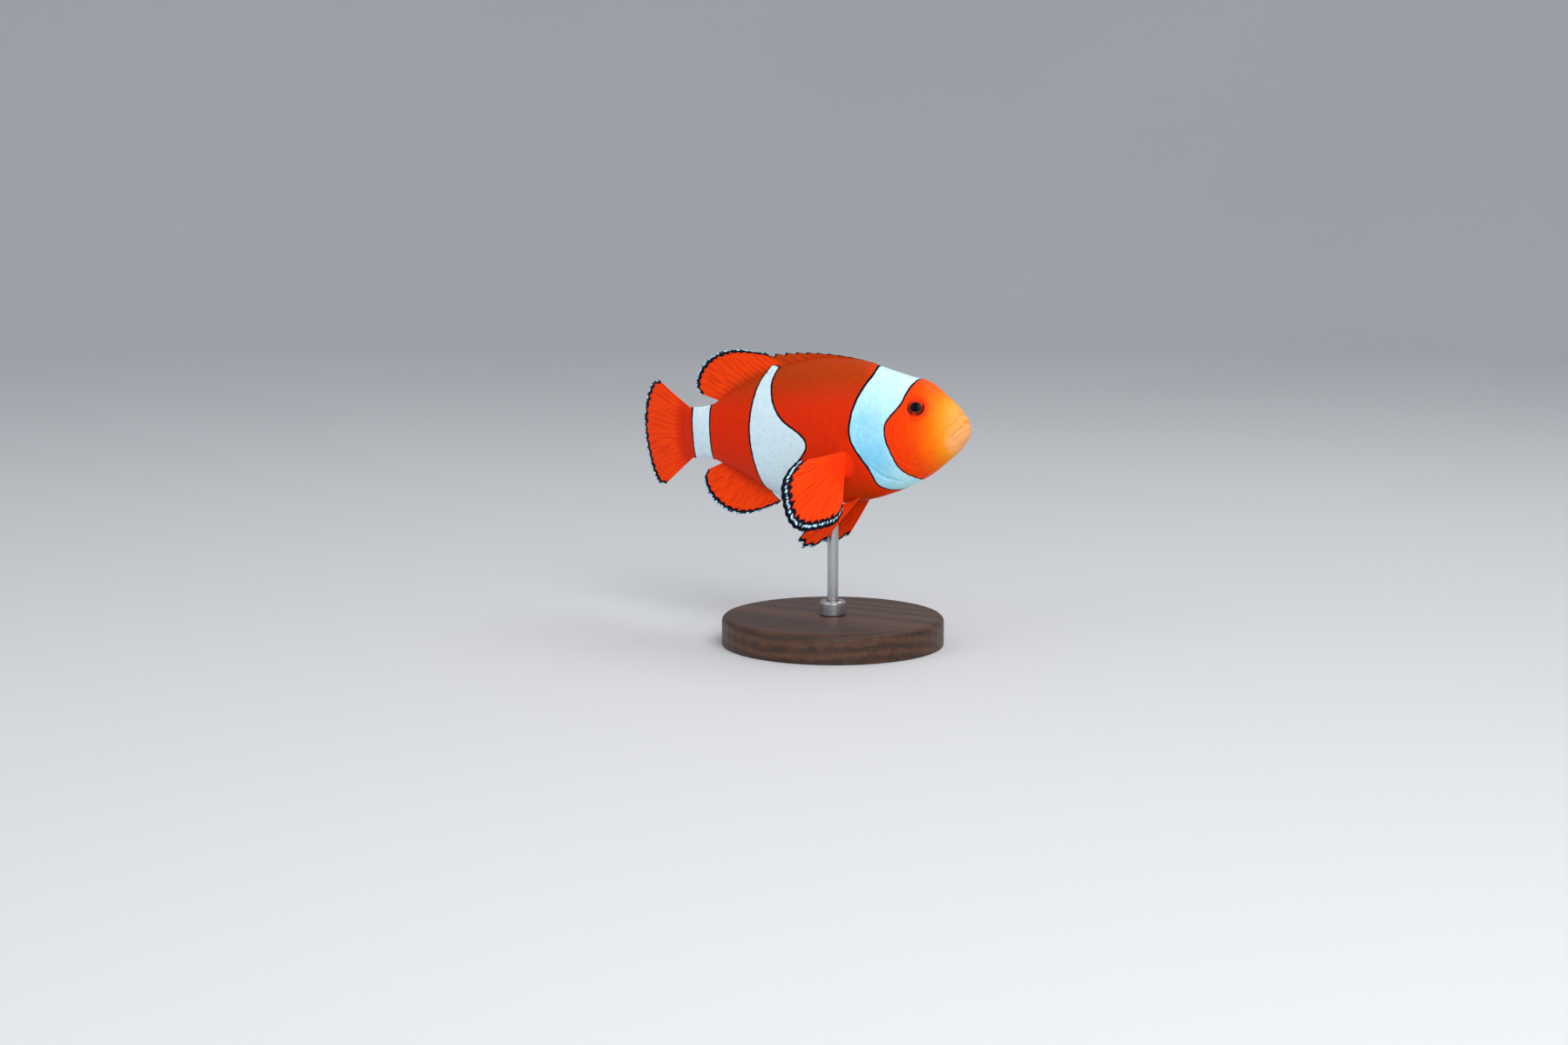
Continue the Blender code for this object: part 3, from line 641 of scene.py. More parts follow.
def fish_skin():
    """The skin and its scales, coloured by their place on the body. fin is how far out on a fin the
    scales of its foot are."""
    g = Graph(
        "fish skin", Roughness=0.42, Specular_IOR_Level=0.07, Subsurface_Weight=0.08,
        Subsurface_Radius=(1.0, 0.35, 0.15), Subsurface_Scale=0.0006,
    )
    place = g.attribute("place", "Vector")
    along, up, out = g.split(place)
    bar, rim, tone, reach, fin = (g.attribute(name) for name in ("bar", "rim", "tone", "reach", "fin"))
    colour = g.mix(g.ramp(fin, *FIN_TURNS), plain_flesh(g, up), FIN_MIDDLE)
    raised = g.times_plus(g.ramp(up, 0.04, 0.12), 0.012, along)
    blurred = g.times_plus(g.uneven(place, 18.0, 4.0, 0.6), 0.030, raised)
    colour = g.mix(g.ramp(blurred, 0.33, 0.24), colour, g.colours(blurred, FACE))
    flat, side = g.join(along, up), g.join(along, up, g.math("ABSOLUTE", out))
    for where, spot, far, near, most, tint in (
        (flat, MOUTH_SPOT, 0.062, 0.028, 1.0, LIPS),
        (side, tuple(EYE_SPOT), 0.050, 0.030, 0.75, EYE_RING),
        (side, LOBE_SPOT, 0.050, 0.034, 1.0, PECTORAL_LOBE),
    ):
        colour = g.mix(g.ramp(g.distance(where, spot), far, near, 0.0, most), colour, tint)
    colour = add_bars(g, colour, place, bar, rim)
    worn = g.times(g.ramp(g.noise(place, 95.0, 3.0), 0.25, 0.75, 0.95, 1.04), tone)
    colour = g.mix(1.0, colour, g.join(worn, worn, worn), "MULTIPLY")
    # Painted shade: each scale a little darker toward its free rear edge, by up to an eighth
    edge_painted_shade = g.mix(1.0, colour, SCALE_EDGE_PAINTED_SHADE, "MULTIPLY")
    colour = g.mix(g.ramp(reach, 0.72, 1.0, 0.0, 0.12), colour, edge_painted_shade)
    grain = g.times_plus(g.noise(place, 420.0, 2.0), 0.6, g.noise(place, 130.0, 3.0))
    roughness = g.ramp(g.noise(place, 60.0, 3.0), 0.3, 0.7, 0.36, 0.48)
    return g.finish(colour, roughness, g.bump(grain, 0.00003, 0.6))


# ------------------------ scales

# The spacing of the scales along the body, in mm
COAT_PITCH = spline(((0.10, 0.58), (0.22, 0.70), (0.34, 0.98), (0.55, 1.08), (0.78, 0.96), (1.0, 0.74)))
ROW_PITCH = 1.10  # of the rows above each other, as a share of the spacing along
SCALES_TO = 1.012
COAT_PARTED = 0.46  # where the front and the rear pieces of the coat meet
SCALE_LENGTH, SCALE_WIDTH = 1.55, 1.72  # as shares of the spacing
SCALE_EDGE = 0.032 * MM  # how thick a scale is
# A scale's rows, from its root back, with their rise and their width, and its columns
REACHES = np.array([0, 0.30, 0.60, 0.85, 1.0])
SCALE_RISE = np.array([-0.040, 0.000, 0.028, 0.050, 0.058]) * MM
WIDTHS = np.array([0.74, 0.94, 1.0, 0.86, 0.52])
ACROSS = np.array([-1, -0.55, 0, 0.55, 1])
PATCH = 0.003  # how much of the unwrap one scale's colours take


def scale_template():
    """One scale's places from its root: (back, across) as shares of its length and half width, its
    rise, its share of the way back, and its faces. The upper face comes first, then the under one's
    rim."""
    reach, across = np.meshgrid(REACHES, ACROSS, indexing="ij")
    back_share = reach - 0.17 * reach * across**2
    across_share = across * WIDTHS[:, None]
    rise = SCALE_RISE[:, None] - 0.014 * MM * across**2
    top = reach.size
    rim = border(np.arange(top).reshape(reach.shape).T)
    count = len(rim)
    faces = [*grid_faces(*reach.shape)]
    for k in range(count):
        after = (k + 1) % count
        faces.append((rim[after], rim[k], top + k, top + after))
    faces.append(range(top, top + count))
    shares = [np.append(a, a.ravel()[rim]) for a in (back_share, across_share, reach)]
    rises = np.append(rise, rise.ravel()[rim] - SCALE_EDGE)
    inset = np.append(np.ones(top), np.full(count, 0.8))
    return (*shares, rises, inset, faces)


def lay_scales(name, surface, spots, sizes, roots_uv, material, values_at, seed, ridged=None):
    """One joined mesh of scales. surface gives places and directions at (p, q), spots are the scales'
    roots there, and sizes are (length, half width) in p and q. ridged is 1 on the lateral line."""
    back_share, across_share, reach, rise, inset, faces = scale_template()
    random = np.random.default_rng(seed)
    count = len(spots)
    spread = 1 + 0.05 * random.standard_normal((count, 2)).clip(-2, 2)
    turn = (0.05 * random.standard_normal(count).clip(-2, 2))[:, None]
    lift = (1 + 0.16 * random.standard_normal(count).clip(-2, 2))[:, None]
    length, width = (sizes * spread).T[..., None]
    p = spots[:, :1] + length * (back_share + turn * across_share)
    q = spots[:, 1:] + width * (across_share - turn * back_share)
    place, normal = surface(p, q)
    height = rise * lift
    if ridged is not None:
        ridge = 0.05 * MM * hump(across_share, 0, 0.22) * np.sin(math.pi * reach)
        height = height + ridged[:, None] * ridge
    places = place + normal * height[..., None]
    all_faces = [np.asarray(face) + k * len(rise) for k in range(count) for face in faces]
    patch = np.stack([reach - 0.5, across_share / 2], -1) * inset[:, None] * PATCH
    uv = (roots_uv[:, None, :] + patch[None])[:, np.concatenate(faces)].reshape(-1, 2).clip(0, 1)
    tone = (1 + 0.020 * random.standard_normal(count).clip(-2, 2))[:, None] + 0 * reach
    values = {"tone": tone.ravel(), "reach": np.broadcast_to(reach, p.shape).ravel()}
    values.update(values_at(p, q))
    piece = add_mesh(name, posed(places), all_faces, material, smooth=50.0, values=values, uv=uv)
    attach(piece, "root")


LATERAL_LINE = spline((
    (0.27, 0.118), (0.36, 0.160), (0.48, 0.172), (0.60, 0.160), (0.72, 0.126), (0.80, 0.098),
))


def coat_spots(side):
    """Roots of the body's scales in brick order, as (along, angle), their spacing in body units, and 1
    for those on the lateral line."""
    spots, pitches, lateral = [], [], []
    along, column = 0.105, 0
    while along < SCALES_TO:
        pitch = float(COAT_PITCH(along)) * MM
        angles = np.linspace(0.01, math.pi - 0.01, 361)
        ring = body_point(np.full(angles.shape, along), angles)
        run = np.concatenate([[0], np.cumsum(np.linalg.norm(np.diff(ring, axis=0), axis=1))])
        middle = np.interp(math.pi / 2, angles, run)
        steps = np.arange(-60, 61) + 0.5 * (column % 2)
        places = middle + steps * pitch * ROW_PITCH
        places = places[(places > 0) & (places < run[-1])]
        at = np.interp(places, run, angles)
        spots += [(along, side * a) for a in at]
        pitches += [pitch] * len(at)
        line_angle = np.interp(-LATERAL_LINE(along), -ring[:, 1], angles)
        on_line = np.abs(places - np.interp(line_angle, angles, run)) < pitch * ROW_PITCH / 2
        lateral += list(1.0 * (on_line & (0.27 < along < 0.80)))
        along += pitch / 2
        column += 1
    return np.array(spots), np.array(pitches), np.array(lateral)


def bare(place):
    """True where the skin has no scales: snout, throat, round the eye, and along the bones' edges."""
    along, up = place[:, 0], place[:, 1]
    snout = SCALES_FROM + 0.035 * ramp(up, 0.05, 0.12) - 0.03 * ramp(up, 0.03, -0.02)
    naked = (along < snout) | (from_spot(place, EYE_SPOT) < 3.2) | ((along < 0.20) & (up < -0.105))
    for line, width in ((CHEEK_EDGE, 0.55), (GILL_EDGE, 0.70)):
        edge, way = beside(line, along, up)
        naked |= (edge > -width) & (edge < 0.3) & (way > 0.01) & (way < 0.99)
    return naked


def body_values(along, angle):
    bar, rim = markings(along.ravel(), angle.ravel())
    return {"place": body_point(along, angle).reshape(-1, 3), "bar": bar, "rim": rim}


def make_body_scales(material):
    for side, word in SIDES:
        spots, pitches, lateral = coat_spots(side)
        kept = ~bare(body_point(*spots.T))
        spots, pitches, lateral = spots[kept], pitches[kept], lateral[kept]
        along, angle = spots.T
        here, step = body_point(along, angle), 0.002
        along_rate = np.linalg.norm(body_point(along + step, angle) - here, axis=1) / step
        angle_rate = np.linalg.norm(body_point(along, angle + step) - here, axis=1) / step
        length = SCALE_LENGTH * pitches / along_rate
        width = side * SCALE_WIDTH / 2 * ROW_PITCH * pitches / np.maximum(angle_rate, 0.01)
        sizes = np.stack([length, width], -1)
        front = along < COAT_PARTED
        for part, end in ((front, "front"), (~front, "rear")):
            lay_scales(
                f"body_scales_{word}_{end}", skin_point, spots[part], sizes[part],
                unwrapped(along[part], angle[part]), material, body_values, 5 + side, lateral[part],
            )


# ------------------------ fins

PER_RAY = 16  # columns between two rays
REACH_ROWS = 52


def median_ends(fin, at, share):
    """Roots and tips of a fin on the middle plane, for places among its rays and lengths' shares."""
    first, last = fin["base"]
    along, tilt = first + (last - first) * at, np.radians(fin["lean"](at))
    surface = np.stack([along, fin["edge"](along), 0 * at], -1)
    heading = np.stack([np.sin(tilt), fin["way"] * np.cos(tilt), 0 * at], -1)
    return surface - heading * FIN_ROOT, surface + heading * (fin["length"](at) * share)[:, None]


def tail_ends(fin, at, share):
    angle = np.radians(TAIL_HALF_ANGLE) * (1 - 2 * at)
    middle, half = (back(1.0) + belly(1.0)) / 2, (back(1.0) - belly(1.0)) / 2
    roots = np.stack([1.0 + 0 * at, middle + half * (1 - 2 * at) * 0.96, 0 * at], -1)
    heading = np.stack([np.cos(angle), np.sin(angle), 0 * at], -1)
    return roots, roots + (fin["length"](at) * share)[:, None] * heading


def paired_ends(fin, at, share):
    first, last = (np.array(p, float) for p in fin["root"])
    surface = first + (last - first) * at[:, None]
    heading = [spline(list(zip((0, 0.5, 1), column)))(at) for column in zip(*fin["ways"])]
    heading = unit(np.stack(heading, -1))
    tips = surface + heading * (fin["length"](at) * share)[:, None]
    mirror = np.array([1, 1, fin["side"]])
    return (surface - heading * fin["sunk"]) * mirror, tips * mirror


# base is where the fin starts and ends on the body's edge. length is in body units and lean in degrees,
# by place among the rays. ray is a ray's half thickness, lobe the flesh that the rays grow from, band
# the width of the margin's black band, and white how far the middle of its white dashes is from the
# margin and their half width, all in mm. brown is how far the fin takes the back's darker
# colour, which is painted shade, scallop how far the membrane falls back between rays, and corners how
# much shorter its first and last rays are
FINS = [
    dict(
        name="spiny_dorsal_membrane", node="dorsal_fin_spiny", rays=DORSAL_SPINES, ends=median_ends,
        base=(SPINY_BASE[0], SOFT_BASE[0]), edge=back, way=1, lean=spline(((0, 66), (0.5, 65), (1, 62))),
        length=spline(((0, 0.014), (0.15, 0.024), (0.45, 0.040), (0.75, 0.060), (1, 0.078))),
        scallop=0.20, spines=True, ray=0.20, band=0.24, white=(-1.0, 0.5), brown=0.9,
    ),
    dict(
        name="soft_dorsal_membrane", node="dorsal_fin_soft", rays=DORSAL_RAYS, ends=median_ends,
        base=SOFT_BASE, edge=back, way=1, lean=spline(((0, 58), (0.5, 56), (1, 74))),
        length=spline(((0, 0.084), (0.25, 0.136), (0.55, 0.166), (0.85, 0.146), (1, 0.100))),
        scallop=0.014, ray=0.15, band=0.85, white=(0.20, 0.26), brown=0.15, corners=(0, 0.16),
    ),
    dict(
        name="anal_membrane", node="anal_fin", rays=ANAL_RAYS, ends=median_ends,
        base=ANAL_BASE, edge=belly, way=-1, lean=spline(((0, 52), (0.5, 50), (1, 72))),
        length=spline((
            (0, 0.040), (0.12, 0.084), (0.35, 0.138), (0.65, 0.156), (0.88, 0.130), (1, 0.094),
        )),
        scallop=0.018, ray=0.15, band=0.85, white=(0.20, 0.26), corners=(0, 0.16),
    ),
    dict(
        name="tail_membrane", node="tail_fin", rays=TAIL_RAYS, ends=tail_ends,
        length=spline(((0, 0.200), (0.2, 0.230), (0.5, 0.248), (0.8, 0.230), (1, 0.200))),
        scallop=0.012, ray=0.16, band=0.95, white=(0.20, 0.28), corners=(0.13, 0.13),
    ),
]
for side, word in SIDES:
    FINS.append(dict(
        name=f"pectoral_membrane_{word}", node=f"pectoral_fin_{word}", rays=PECTORAL_RAYS,
        ends=paired_ends, side=side, root=PECTORAL_ROOT, ways=PECTORAL_WAYS[side], sunk=0.010,
        length=spline((
            (0, 0.146), (0.07, 0.174), (0.16, 0.203), (0.30, 0.226), (0.5, 0.242), (0.75, 0.196),
            (0.9, 0.166), (1, 0.136),
        )),
        wave=PECTORAL_WAVE * side, lobe=0.42, scallop=0.014, ray=0.13, band=1.55,
        white=(1.10, 0.29), corners=(0, 0.08),
    ))
    FINS.append(dict(
        name=f"pelvic_membrane_{word}", node=f"pelvic_fin_{word}", rays=PELVIC_RAYS,
        ends=paired_ends, side=side, root=PELVIC_ROOT, ways=PELVIC_WAYS, sunk=0.020,
        length=spline(((0, 0.165), (0.3, 0.225), (0.6, 0.230), (1, 0.160))),
        bow=PELVIC_BOW * side, scallop=0.05, ray=0.15, band=0.9, white=(0.25, 0.26),
    ))
CORNER = 0.045  # how far among the rays a fin's rounded corner reaches
FAR_OUTSIDE = -9.0  # the depth in a bar, in mm, where there is none


def fin_surface(fin):
    """The fin's middle surface, as a function of at, its place among the rays, and t, its reach."""

    def middle(at, t):
        at, t = np.broadcast_arrays(np.asarray(at, float), np.asarray(t, float))
        shape, at, t = at.shape, at.ravel(), t.ravel()
        share = 1 - fin["scallop"] * np.sin(math.pi * at * (fin["rays"] - 1)) ** 2
        for end, cut in enumerate(fin.get("corners", ())):
            share = share - cut * hump(at, end, CORNER)
        roots, tips = fin["ends"](fin, at, share)
        place = roots + (tips - roots) * t[:, None]
        place[:, 2] += fin.get("bow", 0) * t * (1 - t)
        if "wave" in fin:
            roots, tips = fin["ends"](fin, np.array([0.0, 1.0]), np.ones(2))
            across = unit(np.cross(tips[1] - roots[1], tips[0] - roots[0]))
            wave = fin["wave"] * np.sin(PECTORAL_WAVES * 2 * math.pi * at + 0.5) * t**2
            place += across * wave[:, None]
        return place.reshape(*shape, 3)

    return middle


def fin_thickness(fin, at, t):
    """Half the fin's thickness: fleshy at the root, ridged along the rays, thin at the margin."""
    phase = at * (fin["rays"] - 1)
    off = phase - np.round(phase)
    if "spines" in fin:
        ridge = hump(off, 0, 0.15 - 0.05 * t)
    else:
        first = 0.15 * ramp(t, 0.30, 0.85)
        second = 0.07 * ramp(t, 0.58, 1.0)
        width = 0.17 - 0.105 * ramp(t, 0.1, 0.9)
        branches = [a * first + b * second for a in (-1, 1) for b in (-1, 1)]
        ridge = np.max([hump(off, branch, width) for branch in branches], axis=0)
    lobe = fin.get("lobe", 0)
    foot = 0.14 if lobe else 0.04
    height = 0.045 + fin["ray"] * (1 - 0.66 * t) * ridge * ramp(t, foot - 0.04, foot + 0.10)
    height = height + 0.26 * hump(t, 0, 0.13)
    height = height + lobe * ramp(t, 0.27, 0.06) * np.sin(math.pi * at.clip(0, 1)) ** 0.5
    ends = np.minimum(ramp(at, -0.004, 0.012), ramp(at, 1.004, 0.988))
    ends = (0.35 + 0.65 * ends) * ramp(t, 1.012, 0.955) * (0.15 + 0.85 * ramp(t, -0.01, 0.035))
    return MM * np.maximum(height * ends, 0.012)


def fin_bar(fin, place):
    """How deep in the middle bar each place is, in mm. It runs on to the foot of the dorsal and anal
    fins, as a low dome."""
    along, up = place[..., 0], place[..., 1]
    if fin["node"] in ("dorsal_fin_spiny", "dorsal_fin_soft"):
        girth, height = 0.0, (up - back(along)) / MM
    elif fin["node"] == "anal_fin":
        girth, height = 1.0, (belly(along) - up) / MM
    else:
        return np.full(along.shape, FAR_OUTSIDE)
    inside = np.minimum(along - MID_BAR_FRONT(girth), MID_BAR_REAR(girth) - along) / MM
    return inside - np.maximum(height, 0) ** 2


def make_fin(fin, material):
    middle = fin_surface(fin)
    columns = (fin["rays"] - 1) * PER_RAY + 1
    at, t = np.meshgrid(np.linspace(0, 1, columns), np.linspace(0, 1, REACH_ROWS), indexing="ij")
    place = middle(at, t)
    along_rays, among_rays = np.gradient(place, axis=1), np.gradient(place, axis=0)
    normal = unit(np.cross(along_rays, among_rays))
    thick = fin_thickness(fin, at, t)[..., None]
    flutter = 0.10 * MM * np.sin(9 * at + 5 * t)[..., None] * t[..., None] ** 2
    sides = [place + normal * (flutter + thick), place + normal * (flutter - thick)]
    places = np.concatenate([s.reshape(-1, 3) for s in sides])
    count = at.size
    upper = grid_faces(*at.shape)
    faces = [*upper[:, ::-1], *(upper + count)]
    edge = border(np.arange(count).reshape(at.shape))
    for vertex, after in zip(edge, edge[1:] + edge[:1]):
        faces.append((vertex, after, after + count, vertex + count))
    phase = at * (fin["rays"] - 1)
    from_margin = (1 - t) * fin["length"](at) / MM
    white_at, white_half = fin["white"]
    values = {
        "place": place, "ray": phase, "reach": t, "margin": from_margin / fin["band"],
        "white": np.abs(from_margin - white_at) / white_half, "bar": fin_bar(fin, place),
        "fleshy": 0 * t + ("lobe" in fin), "brown": 0 * t + fin.get("brown", 0),
    }
    values = {k: np.concatenate([v.reshape(count, -1)] * 2).squeeze() for k, v in values.items()}
    piece = add_mesh(fin["name"], posed(places), faces, material, 75.0, values, turn_out=True)
    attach(piece, "root")
    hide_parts(fin["node"])


FIN_BLACK = srgb(9, 11, 24)
FIN_WHITE = srgb(190, 232, 255)
FIN_RIM = 0.45  # the width of the black rim of a bar's end on a fin, in mm


def fin_skin():
    """Orange membrane that starts as the body's colour, with a black band whose inner edge is jagged,
    and broken white dashes in or along it."""
    g = Graph(
        "fin membrane", Roughness=0.46, Specular_IOR_Level=0.07, Subsurface_Weight=0.08,
        Subsurface_Radius=(1.0, 0.30, 0.12), Subsurface_Scale=0.0005,
    )
    place = g.attribute("place", "Vector")
    ray, reach, margin, bar = (g.attribute(name) for name in ("ray", "reach", "margin", "bar"))
    white, fleshy, brown = (g.attribute(name) for name in ("white", "fleshy", "brown"))
    _, up = g.split(place, 2)
    off = g.math("ABSOLUTE", g.math("SUBTRACT", ray, g.math("ROUND", ray)))
    on_ray = g.ramp(off, 0.30, 0.05)
    streaks = g.noise(g.join(g.times(ray, 2.2), g.times(reach, 1.6)), 1.4, 3.0, 0.6)
    colour = g.mix(g.ramp(streaks, 0.30, 0.60), FIN_DEEP, FIN_ORANGE)
    colour = g.mix(g.times(on_ray, 0.35), colour, FIN_ORANGE)
    # Painted shade: the back's darker colour laid over the dorsal fins, most on the spiny one
    colour = g.mix(brown, colour, PAINTED_BACK_SHADE)
    root = g.mix(fleshy, plain_flesh(g, up), PECTORAL_LOBE)
    colour = g.mix(g.ramp(reach, *FIN_TURNS), root, colour)
    jag = g.uneven(g.join(ray, g.times(reach, 3.0)), 2.3, 3.0, 0.65)
    inner = g.math("ADD", margin, g.times_plus(on_ray, 0.22, g.times(jag, 1.5)))
    colour = g.mix(g.ramp(inner, 1.72, 1.42), colour, FIN_BLACK)
    dashes = g.noise(g.join(g.times(ray, 2.6), g.times(margin, 0.8)), 1.3, 2.0)
    dashed = g.ramp(g.times_plus(jag, 1.2, white), 1.15, 0.75)
    colour = g.mix(g.times(dashed, g.ramp(dashes, 0.43, 0.54)), colour, FIN_WHITE)
    colour = add_bars(g, colour, place, bar, FIN_RIM)
    joints = g.math("SINE", g.times(margin, 15.0))
    grain = g.times_plus(g.times(joints, on_ray), 0.25, g.noise(place, 260.0, 2.0))
    roughness = g.ramp(g.noise(place, 70.0, 3.0), 0.3, 0.7, 0.40, 0.54)
    return g.finish(colour, roughness, g.bump(grain, 0.00003, 0.6))


# ------------------------ the fins' scales

# How far apart each fin's scales are, in mm, and how far out on it they reach
SCALED_FINS = {"dorsal_fin_soft": (0.56, 0.17), "anal_fin": (0.56, 0.17), "tail_fin": (0.64, 0.27)}
FIN_COAT_LIFT = 0.012 * MM  # how far the scales' roots stand off the membrane


def make_fin_scales(fin, material):
    """Small scales over the foot of a fin, on both of its faces, over its rays too."""
    pitch, deepest = SCALED_FINS[fin["node"]]
    middle = fin_surface(fin)
    random = np.random.default_rng(17)
    ray = np.linalg.norm(middle(0.5, 1.0) - middle(0.5, 0.0))

    def values_at(t, at):
        place = middle(at, t).reshape(-1, 3)
        rim = np.full(t.size, FIN_RIM)
        return {"place": place, "bar": fin_bar(fin, place), "rim": rim, "fin": t.ravel()}

    for face, word in ((1, "a"), (-1, "b")):
        spots, sizes = [], []
        t, row = 0.02, 0
        while t < deepest:
            here = middle(np.linspace(0, 1, 60), t)
            run = np.sum(np.linalg.norm(np.diff(here, axis=0), axis=1))
            size = pitch * (1 - 0.5 * t / deepest) * MM
            count = max(3, int(run / (size * ROW_PITCH)))
            for k in range(count):
                at = (k + 0.25 + 0.5 * (row % 2)) / count
                limit = deepest * (0.62 + 0.30 * math.sin(math.pi * at) + 0.16 * random.random())
                if 0.045 < at < 0.955 and t < limit:
                    spots.append((t, at))
                    sizes.append((SCALE_LENGTH * size / ray, SCALE_WIDTH / 2 * size * ROW_PITCH / run))
            t += size / 2 / ray
            row += 1
        spots, sizes = np.array(spots), np.array(sizes)

        def surface(t, at):
            step = 0.002
            place = middle(at, t)
            among = middle(at + step, t) - place
            normal = unit(np.cross(middle(at, t + step) - place, among)) * face
            height = fin_thickness(fin, at, t) + FIN_COAT_LIFT
            return place + normal * height[..., None], normal

        roots_uv = np.stack([0.05 + 0.9 * spots[:, 1], 0.05 + 0.9 * spots[:, 0] / deepest], -1)
        name = f"{fin['node']}_scales_{word}"
        lay_scales(name, surface, spots, sizes, roots_uv, material, values_at, 11)


# ------------------------ eyes

PUPIL = 1.11 * MM  # its middle radius
LENS_HEIGHT = 0.05 * MM
EYE_COLUMNS = 72


def eye_frame(side):
    """The matrix of an eye: its third axis points out of the head."""
    step = 0.004
    here = np.array([EYE_ALONG, EYE_UP, side_out(EYE_ALONG, EYE_UP)])
    ahead = np.array([step, 0, side_out(EYE_ALONG + step, EYE_UP) - here[2]])
    above = np.array([0, step, side_out(EYE_ALONG, EYE_UP + step) - here[2]])
    normal = Vector(np.cross(ahead, above)).normalized()
    middle = Vector(here) - normal * EYE_SUNK
    middle.z, normal.z = side * middle.z, side * normal.z
    forward = Vector((-1, 0, 0))
    first = (forward - normal * forward.dot(normal)).normalized()
    second = normal.cross(first)
    turn = Matrix((first, second, normal)).transposed().to_4x4()
    return Matrix.Translation(middle) @ turn


def make_eye(side, word, material):
    """A ball whose iris is ringed and grooved, with an oval pupil, pointed a little to the front."""
    bearing = 2 * math.pi * np.arange(EYE_COLUMNS) / EYE_COLUMNS
    pupil = PUPIL * (1 + 0.085 * np.cos(2 * bearing) + 0.055 * np.cos(bearing) + 0.02 * np.cos(3 * bearing))
    rings = [pupil * s for s in (0.12, 0.3, 0.5, 0.7, 0.85, 0.94, 0.99, 1.0, 1.015, 1.04, 1.08, 1.13)]
    rim = 0.985 * EYE_RADIUS
    rings += [rings[-1] * (1 - s) + rim * s for s in np.linspace(0, 1, 16)[1:]]
    radius = np.stack(rings)
    ball = EYE_DEPTH_RADIUS * np.sqrt(1 - np.minimum(radius / EYE_RADIUS, 0.999) ** 2)
    from_pupil = (radius - pupil) / MM
    lens = LENS_HEIGHT * ramp(from_pupil, 0.02, -0.75)
    grooves = swell(from_pupil, (-0.045, -0.03, 0.035), (0.035, 0.07, 0.06), (-0.05, 0.42, 0.24))
    local = [radius * np.cos(bearing), radius * np.sin(bearing), ball + lens + grooves]
    top = [[0, 0, EYE_DEPTH_RADIUS + LENS_HEIGHT]]
    local = np.concatenate([top, np.stack(local, -1).reshape(-1, 3)])
    matrix = np.array(eye_frame(side))
    places = local @ matrix[:3, :3].T + matrix[:3, 3]
    faces = [*grid_faces(len(rings), EYE_COLUMNS, start=1, closed=True)]
    faces += [(0, 1 + j, 1 + (j + 1) % EYE_COLUMNS) for j in range(EYE_COLUMNS)]
    last = 1 + (len(rings) - 1) * EYE_COLUMNS
    bottom = len(places)
    places = np.concatenate([places, [matrix[:3, 3] - matrix[:3, 2] * EYE_DEPTH_RADIUS * 0.5]])
    faces += [(last + (j + 1) % EYE_COLUMNS, last + j, bottom) for j in range(EYE_COLUMNS)]
    edge = np.concatenate([[-1.0], from_pupil.ravel(), [1.0]])  # in mm, and the ball's own ends
    spot = np.concatenate([local, [[0, 0, -EYE_DEPTH_RADIUS]]]) * (1, -side, 1)
    values = {"edge": edge, "spot": spot / EYE_RADIUS}
    eye = add_mesh(f"eyeball_{word}", posed(places), faces, material, values=values, turn_out=True)
    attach(eye, "root")
    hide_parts(f"eye_{word}")


PUPIL_BLACK = srgb(3, 4, 14)
IRIS_GOLD = srgb(152, 72, 24)
IRIS_RED = srgb(212, 46, 4)
IRIS_DARK = srgb(84, 18, 9)


def eye_surface():
    """A navy pupil in a thin dull gold ring. The iris is as red as the skin round it, with maroon
    patches before, behind and below the pupil."""
    g = Graph("eye", Roughness=0.30, Specular_IOR_Level=0.06, Coat_Weight=0.08, Coat_Roughness=0.06)
    edge = g.attribute("edge")
    spot = g.attribute("spot", "Vector")
    ahead, above = g.split(spot, 2)
    sides = g.times(g.math("ABSOLUTE", ahead), 0.34)
    dark = g.times_plus(above, -0.20, g.math("ADD", sides, g.noise(spot, 2.2, 3.0, 0.6)))
    iris = g.mix(g.ramp(dark, 0.50, 0.84), IRIS_RED, IRIS_DARK)
    iris = g.mix(g.ramp(edge, 0.45, 0.85, 0.0, 0.85), iris, EYE_RING)
    iris = g.mix(g.ramp(edge, 0.12, 0.06), iris, IRIS_GOLD)
    return g.finish(g.mix(g.ramp(edge, 0.02, -0.02), iris, PUPIL_BLACK))


# ------------------------ the stand


def stained_wood():
    """A turned disc of dark stained walnut, its grain along X."""
    g = Graph("stained walnut", Specular_IOR_Level=0.35, Coat_Weight=0.2, Coat_Roughness=0.4)
    place = g.add("TexCoord", {}, "Object")
    pith, stretch = (0, 0.013, 0.045), (0.16, 1.0, 1.0)
    trunk = g.add("Mapping", {"Vector": place, "Location": pith, "Scale": stretch})
    from_pith = g.add("VectorMath", {0: trunk}, 1, operation="LENGTH")
    warp = g.times(g.noise(trunk, 60.0, 3.0, 0.6), 9.0)
    rings = g.math("SINE", g.times_plus(from_pith, 2600.0, warp))
    fine = g.noise(g.stretched(place, 14.0, 130.0, 130.0), 9.0, 4.0, 0.7)
    tone = g.times_plus(rings, 0.13, fine)
    colour = g.mix(g.ramp(tone, 0.25, 0.80), srgb(48, 28, 18), srgb(92, 57, 36))
    pores = g.ramp(g.noise(g.stretched(place, 60.0, 900.0, 900.0), 3.0, 1.0), 0.60, 0.70)
    colour = g.mix(g.times(pores, 0.4), colour, srgb(24, 13, 8))
    height = g.times_plus(pores, -0.5, fine)
    return g.finish(colour, g.ramp(fine, 0.3, 0.7, 0.46, 0.62), g.bump(height, 0.00005, 0.5))


